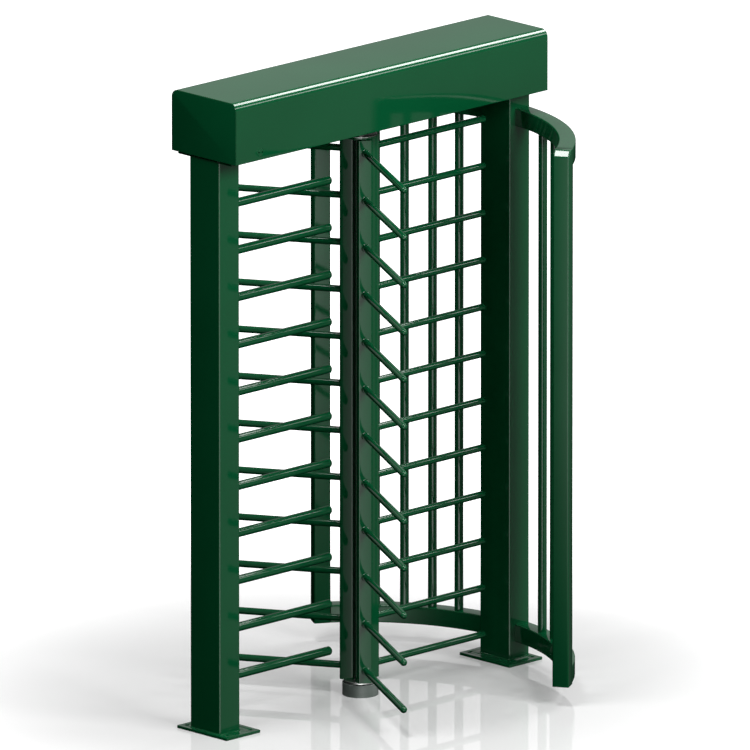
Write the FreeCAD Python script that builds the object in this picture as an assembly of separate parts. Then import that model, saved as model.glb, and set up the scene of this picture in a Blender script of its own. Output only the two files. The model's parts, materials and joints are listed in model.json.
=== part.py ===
import FreeCAD, Part
import math
import os

# Full-height visitor counter turnstile, in millimetres, +Z up.
# Origin: floor level, on the rotor's axis. +X runs along the header towards the cage, and -Y is the
# side that a visitor comes from. Every sub-part is written as its own STEP file in parts/.

V = FreeCAD.Vector

# ---- driving dimensions -------------------------------------------------------------------------
# overall
overall_length = 1540.0         # header, end face to end face
overall_height = 2312.0         # floor to the top of the header
# header cover and the tray inside it
header_depth = 322.0
header_height = 222.0
header_edge_radius = 28.0       # rounded long edges
cover_sheet = 2.5
end_plate = 3.0
tray_sheet = 3.0
tray_drop = 8.0                 # how far the tray shows below the cover
tray_inset = 27.0               # from the cover's front and back faces
tray_wall_height = 60.0
cover_screw_inset = 170.0       # outer cover screws from the header's ends
screw_block = 24.0
screw_block_height = 15.0
cover_screw = 3.0               # shank radius
cover_screw_head = (5.5, 3.0)   # radius, height
cover_screw_length = 14.0
tray_shaft_gap = 11.0
# posts and floor plates
post_width = 100.0              # along X
post_depth = 150.0              # along Y
post_wall = 4.0
post_corner = 7.0
post_cap = 10.0
bolt_size = 10.0                # the bolts that hold the tray to the posts and the bearing housing to it
bolt_length = 12.0
floor_plate = 10.0
plate_margin_out = 15.0
plate_margin_in = 50.0
plate_margin_side = 50.0
anchor_hole = 14.0
anchor_inset = 25.0
cable_hole = 40.0               # through the left floor plate, inside the post
# rotor
arm_count = 12                  # arms in one wing
arm_diameter = 25.0
arm_end_inset = 46.0            # lowest and highest arm from the tube's ends
bar_wall = 2.5                  # wall of the arms and of the comb and cage bars
rotor_tube = 50.0
rotor_tube_wall = 3.0
rotor_tube_corner = 5.0
rotor_tube_gap = 1.0            # between the shaft and each tube
rotor_plate_radius = 60.0
rotor_top_gap = 40.0            # top plate to the tray
rotor_top_plate = 8.0
rotor_washer = 2.0              # bright washer on the top plate
rotor_bottom_plate = 8.0
shaft_diameter = 38.0
# comb
comb_diameter = 32.0
comb_gap = 74.0                 # bar ends to the rotor tubes' corners
# cage
cage_tube = 60.0                # radial width of rails and uprights
cage_rail_height = 64.0
cage_wall = 3.0
cage_setback = 9.0              # cage's outer radius from the post's outer face
cage_top_gap = 60.0             # top rail to the tray
cage_floor_gap = 72.0
cage_angle = 59.0               # each end of the cage, degrees from +X
cage_bar_diameter = 32.0
cage_bar_count = 5
cage_bar_first = 16.75          # degrees
cage_bar_step = 8.15
cage_corner = 26.0              # rounded top corner of the end uprights
cage_edge = 6.0                 # and their rounded upright edges
arm_cage_gap = 80.0
# floor drum and lower bearing
drum_radius = 64.0
drum_height = 45.0
drum_floor = 12.0
rotor_floor_gap = 2.0           # bottom plate above the drum
drum_screw_circle = 96.0
drum_screw_hole = 10.0
drum_screw_head = 18.0          # counterbore
lower_journal = 30.0
lower_bearing_size = (62.0, 16.0)
# upper bearing
upper_journal = 35.0
upper_bearing_size = (72.0, 17.0)
housing_flange = 8.0
housing_flange_radius = 64.0
housing_wall = 10.0
housing_bolt_circle = 108.0
housing_shaft_gap = 5.0
housing_lip = 2.0               # housing above the bearing
bearing_recess = 3.0            # lower bearing below the drum's top
bearing_ledge = 6.0             # width of the step that the lower bearing stands on
ball_radii = {"lower": 4.7, "upper": 5.5}
ball_count = 9
journal_overrun = 5.0           # upper journal above its bearing
# mechanism in the header
mech_plate = 6.0
mech_plate_margin = 30.0        # beyond the counter's case
mech_plate_lift = 33.0          # above the tray's floor
mech_plate_corner = 8.0
mech_plate_bore = 30.0          # radius of the hole that the wheel's hub stands in
pillar_radius = 9.0
pillar_stud = 4.0
pillar_nut = (13.0, 6.5)        # across flats, height
stud_above_nut = 2.5
spindle_radius = 4.0            # of the two pinions
mech_shaft = 30.0
wheel_lift = 14.0               # lock wheel above the plate
cam_lift_off = 10.0             # index cam above the lock wheel
cam_thickness = 10.0
gear_lift_off = 8.0             # gears above the index cam
hub_radius = 24.0
lock_wheel_radius = 85.0
lock_wheel_thickness = 10.0
lock_notches = 12
notch_width = 18.0
notch_depth = 12.0
lightening_holes = 6
lightening_hole = 22.0
pawl_arm = 60.0
pawl_width = 12.0
pawl_tooth = 8.0                # tooth beyond the pawl's arm
pawl_tooth_width = 9.0
pawl_tooth_offset = 2.6         # from the notch's middle at rest; the swing brings it to the middle
pawl_pin = 5.0
index_pin = 6.0
pawl_clearance = 3.0            # tooth above the wheel's rim when it is out
pawl_swing = 10.5               # degrees
pawl_side_angle = -30.0         # where the tooth meets the wheel, from +X
cam_base_radius = 56.0
cam_lift = 6.0
roller_radius = 12.0
roller_clearance = 0.6
index_pivot_gap = 13.95         # index arm's pivot from the lock wheel's rim
gear_shaft_gap = 15.0           # pinion spindles from the lock wheel's rim
gear_teeth = 60
pinion_teeth = 20
gear_width = 8.0
gear_backlash = 0.3             # taken off each tooth at the pitch circle
running = 0.05                  # radial clearance of a pin in a bore
free_gap = 0.3                  # between curved faces that move past each other
counter_length = 60.0           # the counter's case, outwards from its spindle
counter_depth = 50.0
counter_height = 48.0
damper_radius = 30.0
damper_neck = 8.0
solenoid_length = 60.0
solenoid_side = 34.0
plunger_radius = 6.0
pin_boss = 10.0
# cover lock
lock_from_end = 121.0
lock_above_edge = 28.0
lock_disc_radius = 14.0
lock_pin_spacing = 17.0
lock_pin_hole = 7.0
lock_cam_gap = 5.5              # the cam's front face from the tray's wall
gland_radius = 10.0
gland_flats = 27.0
gland_bore = 5.0
# control box
box_length = 240.0
box_depth = 160.0
box_height = 80.0
box_sheet = 2.0
box_corner = 6.0
box_from_post = 107.0
board_inset = 12.0
board_lift = 14.0
board_thickness = 1.6
board_pillar = 4.0

# ---- sizes that follow --------------------------------------------------------------------------
half_length = overall_length / 2
cover_bottom = overall_height - header_height
tray_bottom = cover_bottom - tray_drop
tray_top = tray_bottom + tray_sheet
tray_half_depth = header_depth / 2 - tray_inset
post_out = half_length - end_plate
post_in = post_out - post_width
post_mid = (post_out + post_in) / 2
cage_out = post_out - cage_setback
cage_in = cage_out - cage_tube
cage_mid = (cage_out + cage_in) / 2
arm_reach = cage_in - arm_cage_gap
rotor_bottom = drum_height + rotor_floor_gap
tube_bottom = rotor_bottom + rotor_bottom_plate
rotor_top = tray_bottom - rotor_top_gap
tube_top = rotor_top - rotor_washer - rotor_top_plate
shaft_radius = shaft_diameter / 2
rotor_tube_centre = shaft_radius + rotor_tube_gap + rotor_tube / 2
tube_face = rotor_tube_centre + rotor_tube / 2
arm_pitch = (tube_top - tube_bottom - 2 * arm_end_inset) / (arm_count - 1)
arm_levels = [tube_bottom + arm_end_inset + i * arm_pitch for i in range(arm_count)]
comb_levels = [level + arm_pitch / 2 for level in arm_levels[:-1]]
comb_tip = -(math.hypot(tube_face, rotor_tube / 2) + comb_gap)
mech_radius = mech_shaft / 2
lower_seat = drum_height - bearing_recess - lower_bearing_size[1]
bearing_seat = tray_top + housing_flange / 2
bearing_top = bearing_seat + upper_bearing_size[1]
housing_top = bearing_top + housing_lip
plate_bottom = tray_top + mech_plate_lift
plate_top = plate_bottom + mech_plate
wheel_bottom = plate_top + wheel_lift
wheel_top = wheel_bottom + lock_wheel_thickness
cam_bottom = wheel_top + cam_lift_off
cam_top = cam_bottom + cam_thickness
gear_bottom = cam_top + gear_lift_off
gear_top = gear_bottom + gear_width
gear_centres = lock_wheel_radius + gear_shaft_gap
gear_module = 2 * gear_centres / (gear_teeth + pinion_teeth)
index_radius = cam_base_radius + cam_lift + roller_clearance + roller_radius
index_arm_length = math.sqrt((lock_wheel_radius + index_pivot_gap) ** 2 - index_radius ** 2)
pawl_height = (wheel_bottom + wheel_top) / 2
pawl_reach = lock_wheel_radius + pawl_clearance      # tooth tip, from the rotor axis
pawl_line = pawl_reach + pawl_width / 2 + pawl_tooth        # middle of the pawl's arm
pawl_travel = 2 * pawl_arm * math.sin(math.radians(pawl_swing) / 2)
mech_half_length = gear_centres + counter_length + mech_plate_margin
WING_ANGLES = {"a": 0.0, "b": 120.0, "c": 240.0}


# ---- helpers ------------------------------------------------------------------------------------
def box(x0, x1, y0, y1, z0, z1):
    return Part.makeBox(x1 - x0, y1 - y0, z1 - z0, V(x0, y0, z0))


def rod(radius, z0, z1, x=0.0, y=0.0):
    return Part.makeCylinder(radius, z1 - z0, V(x, y, z0), V(0, 0, 1))


def ring(outer, inner, z0, z1, x=0.0, y=0.0):
    return rod(outer, z0, z1, x, y).cut(rod(inner, z0 - 1, z1 + 1, x, y))


def fuse(first, *others):
    return first.multiFuse(list(others)).removeSplitter()


def turned(shape, degrees, centre=V(0, 0, 0), axis=V(0, 0, 1)):
    copy = shape.copy()
    copy.rotate(centre, axis, degrees)
    return copy


def moved(shape, x=0.0, y=0.0, z=0.0):
    copy = shape.copy()
    copy.translate(V(x, y, z))
    return copy


def mirrored_x(shape):
    return shape.mirror(V(0, 0, 0), V(1, 0, 0))


def round_corners(x0, x1, y0, y1, z0, z1, radius):
    """A block whose four upright edges are rounded."""
    block = box(x0, x1, y0, y1, z0, z1)
    upright = [e for e in block.Edges if abs(e.Vertexes[0].Z - e.Vertexes[-1].Z) > 1e-6]
    return block.makeFillet(radius, upright)


def rect_tube(x0, x1, y0, y1, z0, z1, wall, corner):
    """Rectangular hollow section standing upright."""
    inner_corner = max(corner - wall, 1.0)
    outside = round_corners(x0, x1, y0, y1, z0, z1, corner)
    bore = round_corners(x0 + wall, x1 - wall, y0 + wall, y1 - wall, z0 - 1, z1 + 1, inner_corner)
    return outside.cut(bore)


def domed_bar(radius, x0, x1, z, y=0.0):
    """Round tube along X from an open end at x0 to a domed tip at x1."""
    side = 1.0 if x1 > x0 else -1.0
    length = abs(x1 - x0) - radius
    straight = Part.makeCylinder(radius, length, V(x0, y, z), V(side, 0, 0))
    dome = Part.makeSphere(radius, V(x1 - side * radius, y, z))
    bore = Part.makeCylinder(radius - bar_wall, length, V(x0, y, z), V(side, 0, 0))
    return straight.fuse(dome).removeSplitter().cut(bore)


def hex_prism(across_flats, z0, z1, x=0.0, y=0.0):
    corner = across_flats / math.sqrt(3)
    corners = [V(x + corner * math.cos(math.radians(60 * i)), y + corner * math.sin(math.radians(60 * i)), z0)
               for i in range(7)]
    return Part.Face(Part.makePolygon(corners)).extrude(V(0, 0, z1 - z0))


def hex_bolt(shank, across_flats, head, x, y, seat, length):
    """Bolt pointing down, its head standing on z = seat."""
    return fuse(hex_prism(across_flats, seat, seat + head, x, y), rod(shank, seat - length, seat, x, y))


def both_signs(x, y):
    return [(sx * x, sy * y) for sx in (-1, 1) for sy in (-1, 1)]


def export(name, *solids):
    shape = solids[0] if len(solids) == 1 else Part.makeCompound(list(solids))
    shape.exportStep("parts/" + name + ".step")


# ---- posts --------------------------------------------------------------------------------------
def make_posts():
    for name, side in (("left", -1), ("right", 1)):
        x0, x1 = sorted((side * post_in, side * post_out))
        half = post_depth / 2
        tube = rect_tube(x0, x1, -half, half, floor_plate, tray_bottom, post_wall, post_corner)
        export(name + "_post", tube)
        plate = box(x0 - (plate_margin_out if side < 0 else plate_margin_in),
                    x1 + (plate_margin_in if side < 0 else plate_margin_out),
                    -half - plate_margin_side, half + plate_margin_side, 0, floor_plate)
        bounds = plate.BoundBox
        for x in (bounds.XMin + anchor_inset, bounds.XMax - anchor_inset):
            for y in (bounds.YMin + anchor_inset, bounds.YMax - anchor_inset):
                plate = plate.cut(rod(anchor_hole / 2, -1, floor_plate + 1, x, y))
        if side < 0:
            plate = plate.cut(rod(cable_hole / 2, -1, floor_plate + 1, -post_mid, 0))
        export(name + "_floor_plate", plate)


def post_bolt_places():
    corners = both_signs(post_width / 4, post_depth / 3)
    return [(side * post_mid + x, y) for side in (-1, 1) for x, y in corners]


def make_post_caps():
    """Plates welded inside the posts' tops, tapped for the tray bolts; the left one passes the gland."""
    caps = []
    for side in (-1, 1):
        x0, x1 = sorted((side * post_in, side * post_out))
        half = post_depth / 2 - post_wall
        cap = round_corners(x0 + post_wall, x1 - post_wall, -half, half, tray_bottom - post_cap, tray_bottom,
                            max(post_corner - post_wall, 1.0))
        for x, y in post_bolt_places():
            cap = cap.cut(rod(bolt_size / 2 + running, tray_bottom - post_cap - 1, tray_bottom + 1, x, y))
        if side < 0:
            outlet = rod(gland_radius + free_gap, tray_bottom - post_cap - 1, tray_bottom + 1, -post_mid, 0)
            cap = cap.cut(outlet)
        caps.append(cap)
    export("post_caps", *caps)


# ---- header -------------------------------------------------------------------------------------
def header_block(length, inset, bottom):
    """The header's outline, rounded along its two long upper edges, shrunk by inset all round."""
    half = header_depth / 2 - inset
    top = overall_height - inset
    block = box(-length / 2, length / 2, -half, half, bottom, top)
    long_edges = [e for e in block.Edges
                  if abs(e.Vertexes[0].X - e.Vertexes[-1].X) > 1e-6 and e.Vertexes[0].Z > top - 1e-6]
    return block.makeFillet(header_edge_radius - inset, long_edges)


def cover_screw_places():
    y = (tray_half_depth + header_depth / 2) / 2
    return both_signs(half_length - cover_screw_inset, y) + both_signs(half_length / 4, y)


def lock_place():
    return -half_length + lock_from_end, cover_bottom + lock_above_edge


def make_header():
    sheet_length = 2 * post_out
    cover = header_block(sheet_length, 0.0, cover_bottom)
    cover = cover.cut(header_block(sheet_length + 10, cover_sheet, cover_bottom + cover_sheet))
    slot = tray_half_depth + 0.5
    cover = cover.cut(box(-half_length, half_length, -slot, slot, cover_bottom - 1, cover_bottom + 5))
    for x, y in cover_screw_places():
        cover = cover.cut(rod(cover_screw + free_gap, cover_bottom - 1, cover_bottom + 5, x, y))
    lock_x, lock_z = lock_place()
    front = V(lock_x, -header_depth / 2 - 5, lock_z)
    window = Part.makeCylinder(lock_disc_radius + free_gap, 10, front, V(0, 1, 0))
    export("header_cover", cover.cut(window))
    outline = header_block(2 * half_length, 0.0, cover_bottom)
    export("header_end_left", outline.common(box(-half_length, -post_out, -500, 500, 0, 9000)))
    export("header_end_right", outline.common(box(post_out, half_length, -500, 500, 0, 9000)))


def make_tray():
    end = post_out - end_plate
    half = tray_half_depth
    tray = box(-end, end, -half, half, tray_bottom, tray_bottom + tray_wall_height)
    tray = tray.cut(box(-end - 1, end + 1, -half + tray_sheet, half - tray_sheet, tray_top,
                        tray_bottom + tray_wall_height + 1))
    tray = tray.cut(rod(shaft_radius + tray_shaft_gap, tray_bottom - 1, tray_top + 1))
    for x, y in post_bolt_places():
        tray = tray.cut(rod(bolt_size / 2 + running, tray_bottom - 1, tray_top + 1, x, y))
    for x, y in housing_bolt_places():
        tray = tray.cut(rod(bolt_size / 2 + running, tray_bottom - 1, tray_top + 1, x, y))
    tray = tray.cut(rod(gland_radius + free_gap, tray_bottom - 1, tray_top + 1, -post_mid, 0))
    blocks = []
    near_cover = header_depth / 2 - cover_sheet - 0.5
    for x, y in cover_screw_places():
        y0, y1 = (half, near_cover) if y > 0 else (-near_cover, -half)
        block = box(x - screw_block / 2, x + screw_block / 2, y0, y1,
                    cover_bottom + cover_sheet, cover_bottom + cover_sheet + screw_block_height)
        blocks.append(block.cut(rod(cover_screw + running, 0, 9000, x, y)))
    lock_x, lock_z = lock_place()
    catch = box(lock_x + 10, lock_x + 24, -half - lock_cam_gap, -half, lock_z + 5.5, lock_z + 12)
    export("header_tray", fuse(tray, catch, *blocks))


def make_header_screws():
    head_radius, head_height = cover_screw_head
    screws = []
    for x, y in cover_screw_places():
        head = rod(head_radius, cover_bottom - head_height, cover_bottom, x, y)
        screws.append(fuse(head, rod(cover_screw, cover_bottom, cover_bottom + cover_screw_length, x, y)))
    export("cover_screws", *screws)
    seats = [(x, y, tray_top) for x, y in post_bolt_places()]
    seats += [(x, y, tray_top + housing_flange) for x, y in housing_bolt_places()]
    export("tray_bolts", *[hex_bolt(bolt_size / 2, 1.6 * bolt_size, 0.64 * bolt_size, x, y, z, bolt_length)
                           for x, y, z in seats])


def make_cover_lock():
    """Two-pin disc flush with the cover, turning in a barrel behind it; its cam holds the cover down."""
    lock_x, lock_z = lock_place()
    face = -header_depth / 2
    back = face + cover_sheet

    def along(radius, y0, y1, x=lock_x):
        return Part.makeCylinder(radius, y1 - y0, V(x, y0, lock_z), V(0, 1, 0))

    cam_face = -tray_half_depth - lock_cam_gap
    barrel = along(lock_disc_radius + 3, back, cam_face - 0.5).cut(along(5.0 + running, face, 0))
    barrel = barrel.cut(along(lock_disc_radius + free_gap, face, back + 2))
    export("lock_barrel", barrel)
    core = fuse(along(lock_disc_radius, face, back + 2 - 0.4), along(5.0, face + 2, cam_face))
    for side in (-1, 1):
        core = core.cut(along(lock_pin_hole / 2, face - 1, face + 3, lock_x + side * lock_pin_spacing / 2))
    export("lock_core", core)
    cam = box(lock_x, lock_x + 22, cam_face, cam_face + 3, lock_z - 5, lock_z + 5)
    export("lock_cam", fuse(cam, along(6.5, cam_face, cam_face + 3)))


# ---- comb and cage ------------------------------------------------------------------------------
def make_comb():
    export("comb_bars", *[domed_bar(comb_diameter / 2, -post_in, comb_tip, z) for z in comb_levels])


def rail_section(z0, wall):
    """Hollow section of a rail on the XZ plane, ready to be turned about Z."""
    z1 = z0 + cage_rail_height

    def frame(inset):
        points = [V(cage_in + inset, 0, z0 + inset), V(cage_out - inset, 0, z0 + inset),
                  V(cage_out - inset, 0, z1 - inset), V(cage_in + inset, 0, z1 - inset)]
        return Part.Face(Part.makePolygon(points + points[:1]))

    return frame(0).cut(frame(wall))


def upright_frame(angle):
    """Block that holds everything from an upright's inner side outwards, at +angle."""
    return turned(box(0, 2000, -cage_tube, 2000, 0, 5000), angle)


def make_cage():
    rails = {"top": tray_bottom - cage_top_gap - cage_rail_height, "bottom": cage_floor_gap}
    z_low = cage_floor_gap
    z_high = tray_bottom - cage_top_gap
    beyond = upright_frame(cage_angle)
    for side, sign in (("front", -1), ("back", 1)):
        for level, z0 in rails.items():
            hoop = rail_section(z0, cage_wall).revolve(V(0, 0, 0), V(0, 0, 1), cage_angle)
            hoop = hoop.cut(box(0, 2000, -2000, post_depth / 2, 0, 5000)).cut(beyond)
            export("cage_" + level + "_rail_" + side, hoop if sign > 0 else flipped_y(hoop))
        upright = turned(rounded_upright(z_low, z_high), cage_angle)
        export("cage_upright_" + side, upright if sign > 0 else flipped_y(upright))
        bars = []
        for i in range(cage_bar_count):
            theta = math.radians(sign * (cage_bar_first + i * cage_bar_step))
            x, y = cage_mid * math.cos(theta), cage_mid * math.sin(theta)
            bars.append(ring(cage_bar_diameter / 2, cage_bar_diameter / 2 - bar_wall,
                             z_low + cage_rail_height, z_high - cage_rail_height, x, y))
        export("cage_bars_" + side, *bars)


def flipped_y(shape):
    return shape.mirror(V(0, 0, 0), V(0, 1, 0))


def rounded_upright(z0, z1):
    """Closed upright at angle 0: its outer face on y = 0, its top outer corner rolled over."""
    block = round_corners(cage_in, cage_out, -cage_tube, 0, z0, z1, cage_edge)
    inner = box(cage_in + cage_wall, cage_out - cage_wall, -cage_tube + cage_wall, -cage_wall,
                z0 + cage_wall, z1 - cage_corner)
    corner = box(cage_in - 1, cage_out + 1, -cage_corner, 1, z1 - cage_corner, z1 + 1)
    roll_start = V(cage_in - 2, -cage_corner, z1 - cage_corner)
    roll = Part.makeCylinder(cage_corner, cage_tube + 4, roll_start, V(1, 0, 0))
    return block.cut(corner.cut(roll)).cut(inner)


# ---- rotor --------------------------------------------------------------------------------------
def make_rotor():
    half = rotor_tube / 2
    tube_back = rotor_tube_centre - half
    inner_wall = tube_back + rotor_tube_wall
    for name, angle in WING_ANGLES.items():
        tube = rect_tube(tube_back, tube_face, -half, half, tube_bottom, tube_top,
                         rotor_tube_wall, rotor_tube_corner)
        arms = []
        for z in arm_levels:
            middle = V(rotor_tube_centre, 0, z)
            tube = tube.cut(Part.makeCylinder(arm_diameter / 2 + running, half + 5, middle, V(1, 0, 0)))
            arms.append(turned(domed_bar(arm_diameter / 2, inner_wall, arm_reach, z), angle))
        export("rotor_tube_" + name, turned(tube, angle))
        export("rotor_arms_" + name, *arms)
    export("rotor_bottom_plate", ring(rotor_plate_radius, shaft_radius, rotor_bottom, tube_bottom))
    export("rotor_top_plate", ring(rotor_plate_radius, shaft_radius, tube_top, rotor_top - rotor_washer))
    export("rotor_top_washer", ring(rotor_plate_radius, shaft_radius, rotor_top - rotor_washer, rotor_top))
    steps = [(lower_journal / 2, lower_seat - 6, lower_seat + lower_bearing_size[1]),
             (shaft_radius, lower_seat + lower_bearing_size[1], bearing_seat - 1),
             (upper_journal / 2, bearing_seat - 1, bearing_top + journal_overrun),
             (mech_radius, bearing_top + journal_overrun, gear_top + 12)]
    export("rotor_shaft", fuse(*[rod(r, z0, z1) for r, z0, z1 in steps]))


# ---- bearings -----------------------------------------------------------------------------------
def bearing(bore, outside, width, z0, ball):
    """Returns (outer ring with balls, inner ring) of a deep-groove ball bearing."""
    pitch = (bore + outside) / 4
    land = ball * 0.55
    groove = Part.makeTorus(pitch, ball + free_gap, V(0, 0, z0 + width / 2))
    outer = ring(outside / 2, pitch + land, z0, z0 + width)
    outer = outer.cut(Part.makeTorus(pitch, ball, V(0, 0, z0 + width / 2)))
    inner = ring(pitch - land, bore / 2, z0, z0 + width).cut(groove)
    balls = []
    for i in range(ball_count):
        theta = 2 * math.pi * i / ball_count
        place = V(pitch * math.cos(theta), pitch * math.sin(theta), z0 + width / 2)
        balls.append(Part.makeSphere(ball, place))
    return [outer] + balls, inner


def housing_bolt_places():
    radius = housing_bolt_circle / 2
    return [(radius * math.cos(math.radians(45 + 90 * i)), radius * math.sin(math.radians(45 + 90 * i)))
            for i in range(4)]


def make_bearings():
    lower_outside, lower_width = lower_bearing_size
    upper_outside, upper_width = upper_bearing_size
    drum = rod(drum_radius, 0, drum_height)
    drum = drum.cut(rod(lower_outside / 2, lower_seat, drum_height + 1))
    drum = drum.cut(rod(lower_outside / 2 - bearing_ledge, drum_floor, lower_seat + 1))
    for i in range(3):
        theta = math.radians(60 + 120 * i)
        x, y = drum_screw_circle / 2 * math.cos(theta), drum_screw_circle / 2 * math.sin(theta)
        drum = drum.cut(rod(drum_screw_hole / 2, -1, drum_height + 1, x, y))
        drum = drum.cut(rod(drum_screw_head / 2, drum_floor, drum_height + 1, x, y))
    export("floor_drum", drum)
    lower, lower_inner = bearing(lower_journal, lower_outside, lower_width, lower_seat,
                                 ball_radii["lower"])
    export("lower_bearing", *lower)
    housing = fuse(rod(housing_flange_radius, tray_top, tray_top + housing_flange),
                   rod(upper_outside / 2 + housing_wall, tray_top, housing_top))
    housing = housing.cut(rod(upper_outside / 2, bearing_seat, housing_top + 1))
    housing = housing.cut(rod(shaft_radius + housing_shaft_gap, tray_top - 1, housing_top))
    for x, y in housing_bolt_places():
        housing = housing.cut(rod(bolt_size / 2 + running, tray_top - 1, tray_top + housing_flange + 1, x, y))
        housing = housing.cut(rod(bolt_size, tray_top + housing_flange, housing_top + 1, x, y))
    export("upper_bearing_housing", housing)
    upper, upper_inner = bearing(upper_journal, upper_outside, upper_width, bearing_seat,
                                 ball_radii["upper"])
    export("upper_bearing", *upper)
    export("bearing_inner_rings", lower_inner, upper_inner)


# ---- header mechanism ---------------------------------------------------------------------------
def pillar_places():
    return both_signs(mech_half_length - 12, counter_depth / 2 + 35)


def at_pawl(radial, along):
    """Place in the rotor frame of a point given along and across the pawl's line."""
    theta = math.radians(pawl_side_angle)
    x = radial * math.cos(theta) - along * math.sin(theta)
    y = radial * math.sin(theta) + along * math.cos(theta)
    return x, y


def index_places():
    """Roller centre and arm pivot of the index arm."""
    theta = math.radians(180 + pawl_side_angle)
    roller = (index_radius * math.cos(theta), index_radius * math.sin(theta))
    pivot = (roller[0] + index_arm_length * math.sin(theta), roller[1] - index_arm_length * math.cos(theta))
    return roller, pivot


def make_mechanism_plate():
    half_x = mech_half_length
    half_y = abs(at_pawl(pawl_line, -pawl_arm)[1]) + pin_boss
    plate = round_corners(-half_x, half_x, -half_y, half_y, plate_bottom, plate_top,
                          mech_plate_corner)
    plate = plate.cut(rod(mech_plate_bore, plate_bottom - 1, plate_top + 1))
    plate = plate.cut(rod(damper_neck + 1, plate_bottom - 1, plate_top + 1, -gear_centres, 0))
    for x, y in pillar_places():
        plate = plate.cut(rod(pillar_stud + running, plate_bottom - 1, plate_top + 1, x, y))
    export("mechanism_plate", plate)
    pillars = []
    for x, y in pillar_places():
        flats, nut_height = pillar_nut
        stud_top = plate_top + nut_height + stud_above_nut
        pillars.append(fuse(rod(pillar_radius, tray_top, plate_bottom, x, y),
                            rod(pillar_stud, plate_bottom, stud_top, x, y)))
        nut = hex_prism(flats, plate_top, plate_top + nut_height, x, y)
        pillars.append(nut.cut(rod(pillar_stud, plate_bottom, stud_top, x, y)))
    export("plate_pillars", *pillars)


def make_lock_wheel():
    """A disc on its hub, with a ring of dogs welded round its rim; a pawl's tooth drops between two dogs."""
    root = lock_wheel_radius - notch_depth
    hub = rod(hub_radius + 2, bearing_top + journal_overrun, cam_bottom - 4)
    disc = fuse(rod(root, wheel_bottom, wheel_top), hub)
    hole_circle = (root + hub_radius) / 2 + 3
    for i in range(lightening_holes):
        theta = 2 * math.pi * (i + 0.5) / lightening_holes
        x, y = hole_circle * math.cos(theta), hole_circle * math.sin(theta)
        disc = disc.cut(rod(lightening_hole / 2, wheel_bottom - 1, wheel_top + 1, x, y))
    rim = ring(lock_wheel_radius, root, wheel_bottom, wheel_top)
    gap = box(0, lock_wheel_radius + 5, -notch_width / 2, notch_width / 2, wheel_bottom - 1, wheel_top + 1)
    for i in range(lock_notches):
        rim = rim.cut(turned(gap, 360.0 / lock_notches * i))
    export("lock_wheel", disc.cut(rod(mech_radius, 0, 9000)), *rim.Solids)


def make_index_cam():
    """Three-lobed cam: its radius swings by cam_lift about cam_base_radius three times in a turn."""
    points = []
    steps = 48
    for i in range(steps):
        theta = 2 * math.pi * i / steps
        radius = cam_base_radius + cam_lift * math.cos(3 * theta)
        points.append(V(radius * math.cos(theta), radius * math.sin(theta), cam_bottom))
    curve = Part.BSplineCurve()
    curve.interpolate(points, PeriodicFlag=True)
    lobes = Part.Face(Part.Wire([curve.toShape()])).extrude(V(0, 0, cam_top - cam_bottom))
    hub = rod(hub_radius, cam_bottom - 4, gear_bottom - 4)
    export("index_cam", fuse(lobes, hub).cut(rod(mech_radius, 0, 9000)))


def involute(angle):
    return math.tan(angle) - angle


def gear_outline(teeth, phase):
    """Involute spur-gear outline with a tooth centred on the angle phase, in radians."""
    pressure = math.radians(20)
    pitch = gear_module * teeth / 2
    base = pitch * math.cos(pressure)
    tip = pitch + gear_module
    root = pitch - 1.25 * gear_module
    half_tooth = math.pi / (2 * teeth) - gear_backlash / (2 * pitch)
    start = max(base, root)
    steps = 5
    flank = [(root, half_tooth + involute(pressure))] if start > root else []
    for i in range(steps):
        radius = start + (tip - start) * i / (steps - 1)
        flank.append((radius, half_tooth + involute(pressure) - involute(math.acos(min(1.0, base / radius)))))
    points = []
    for tooth in range(teeth):
        centre = phase + 2 * math.pi * tooth / teeth
        points += [(r, centre - a) for r, a in flank] + [(r, centre + a) for r, a in reversed(flank)]
    return [V(r * math.cos(a), r * math.sin(a), 0) for r, a in points]


def gear(teeth, phase, z0, x=0.0):
    points = gear_outline(teeth, phase)
    blank = Part.Face(Part.makePolygon(points + points[:1])).extrude(V(0, 0, gear_width))
    return moved(blank, x, 0, z0)


def make_gears():
    drive = fuse(gear(gear_teeth, 0.0, gear_bottom), rod(hub_radius, gear_bottom - 4, gear_top + 6))
    export("drive_gear", drive.cut(rod(mech_radius, 0, 9000)))
    half_step = math.pi / pinion_teeth
    for name, x, bottom in (("counter_pinion", gear_centres, plate_top + counter_height - 4),
                            ("damper_pinion", -gear_centres, plate_bottom - 10)):
        spindle = rod(spindle_radius, bottom, gear_top + 8, x, 0)
        export(name, fuse(gear(pinion_teeth, half_step, gear_bottom, x), spindle,
                          rod(9.0, gear_top, gear_top + 5, x, 0)))


def make_counter_and_damper():
    half = counter_depth / 2
    lid = plate_top + counter_height
    case = round_corners(gear_centres - 8, gear_centres + counter_length, -half, half, plate_top, lid, 4.0)
    case = case.cut(rod(spindle_radius + running, lid - 8, lid + 1, gear_centres, 0))
    wheels = box(gear_centres + 20, gear_centres + counter_length - 8, 9 - half, half - 9, lid - 2, lid + 1)
    export("counter_case", case.cut(wheels))
    body = fuse(rod(damper_radius, tray_top + 5, plate_bottom, -gear_centres, 0),
                rod(damper_neck, plate_bottom, plate_top + 4, -gear_centres, 0))
    bore = rod(spindle_radius + running, plate_bottom - 12, plate_top + 5, -gear_centres, 0)
    export("damper_body", body.cut(bore))


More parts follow.
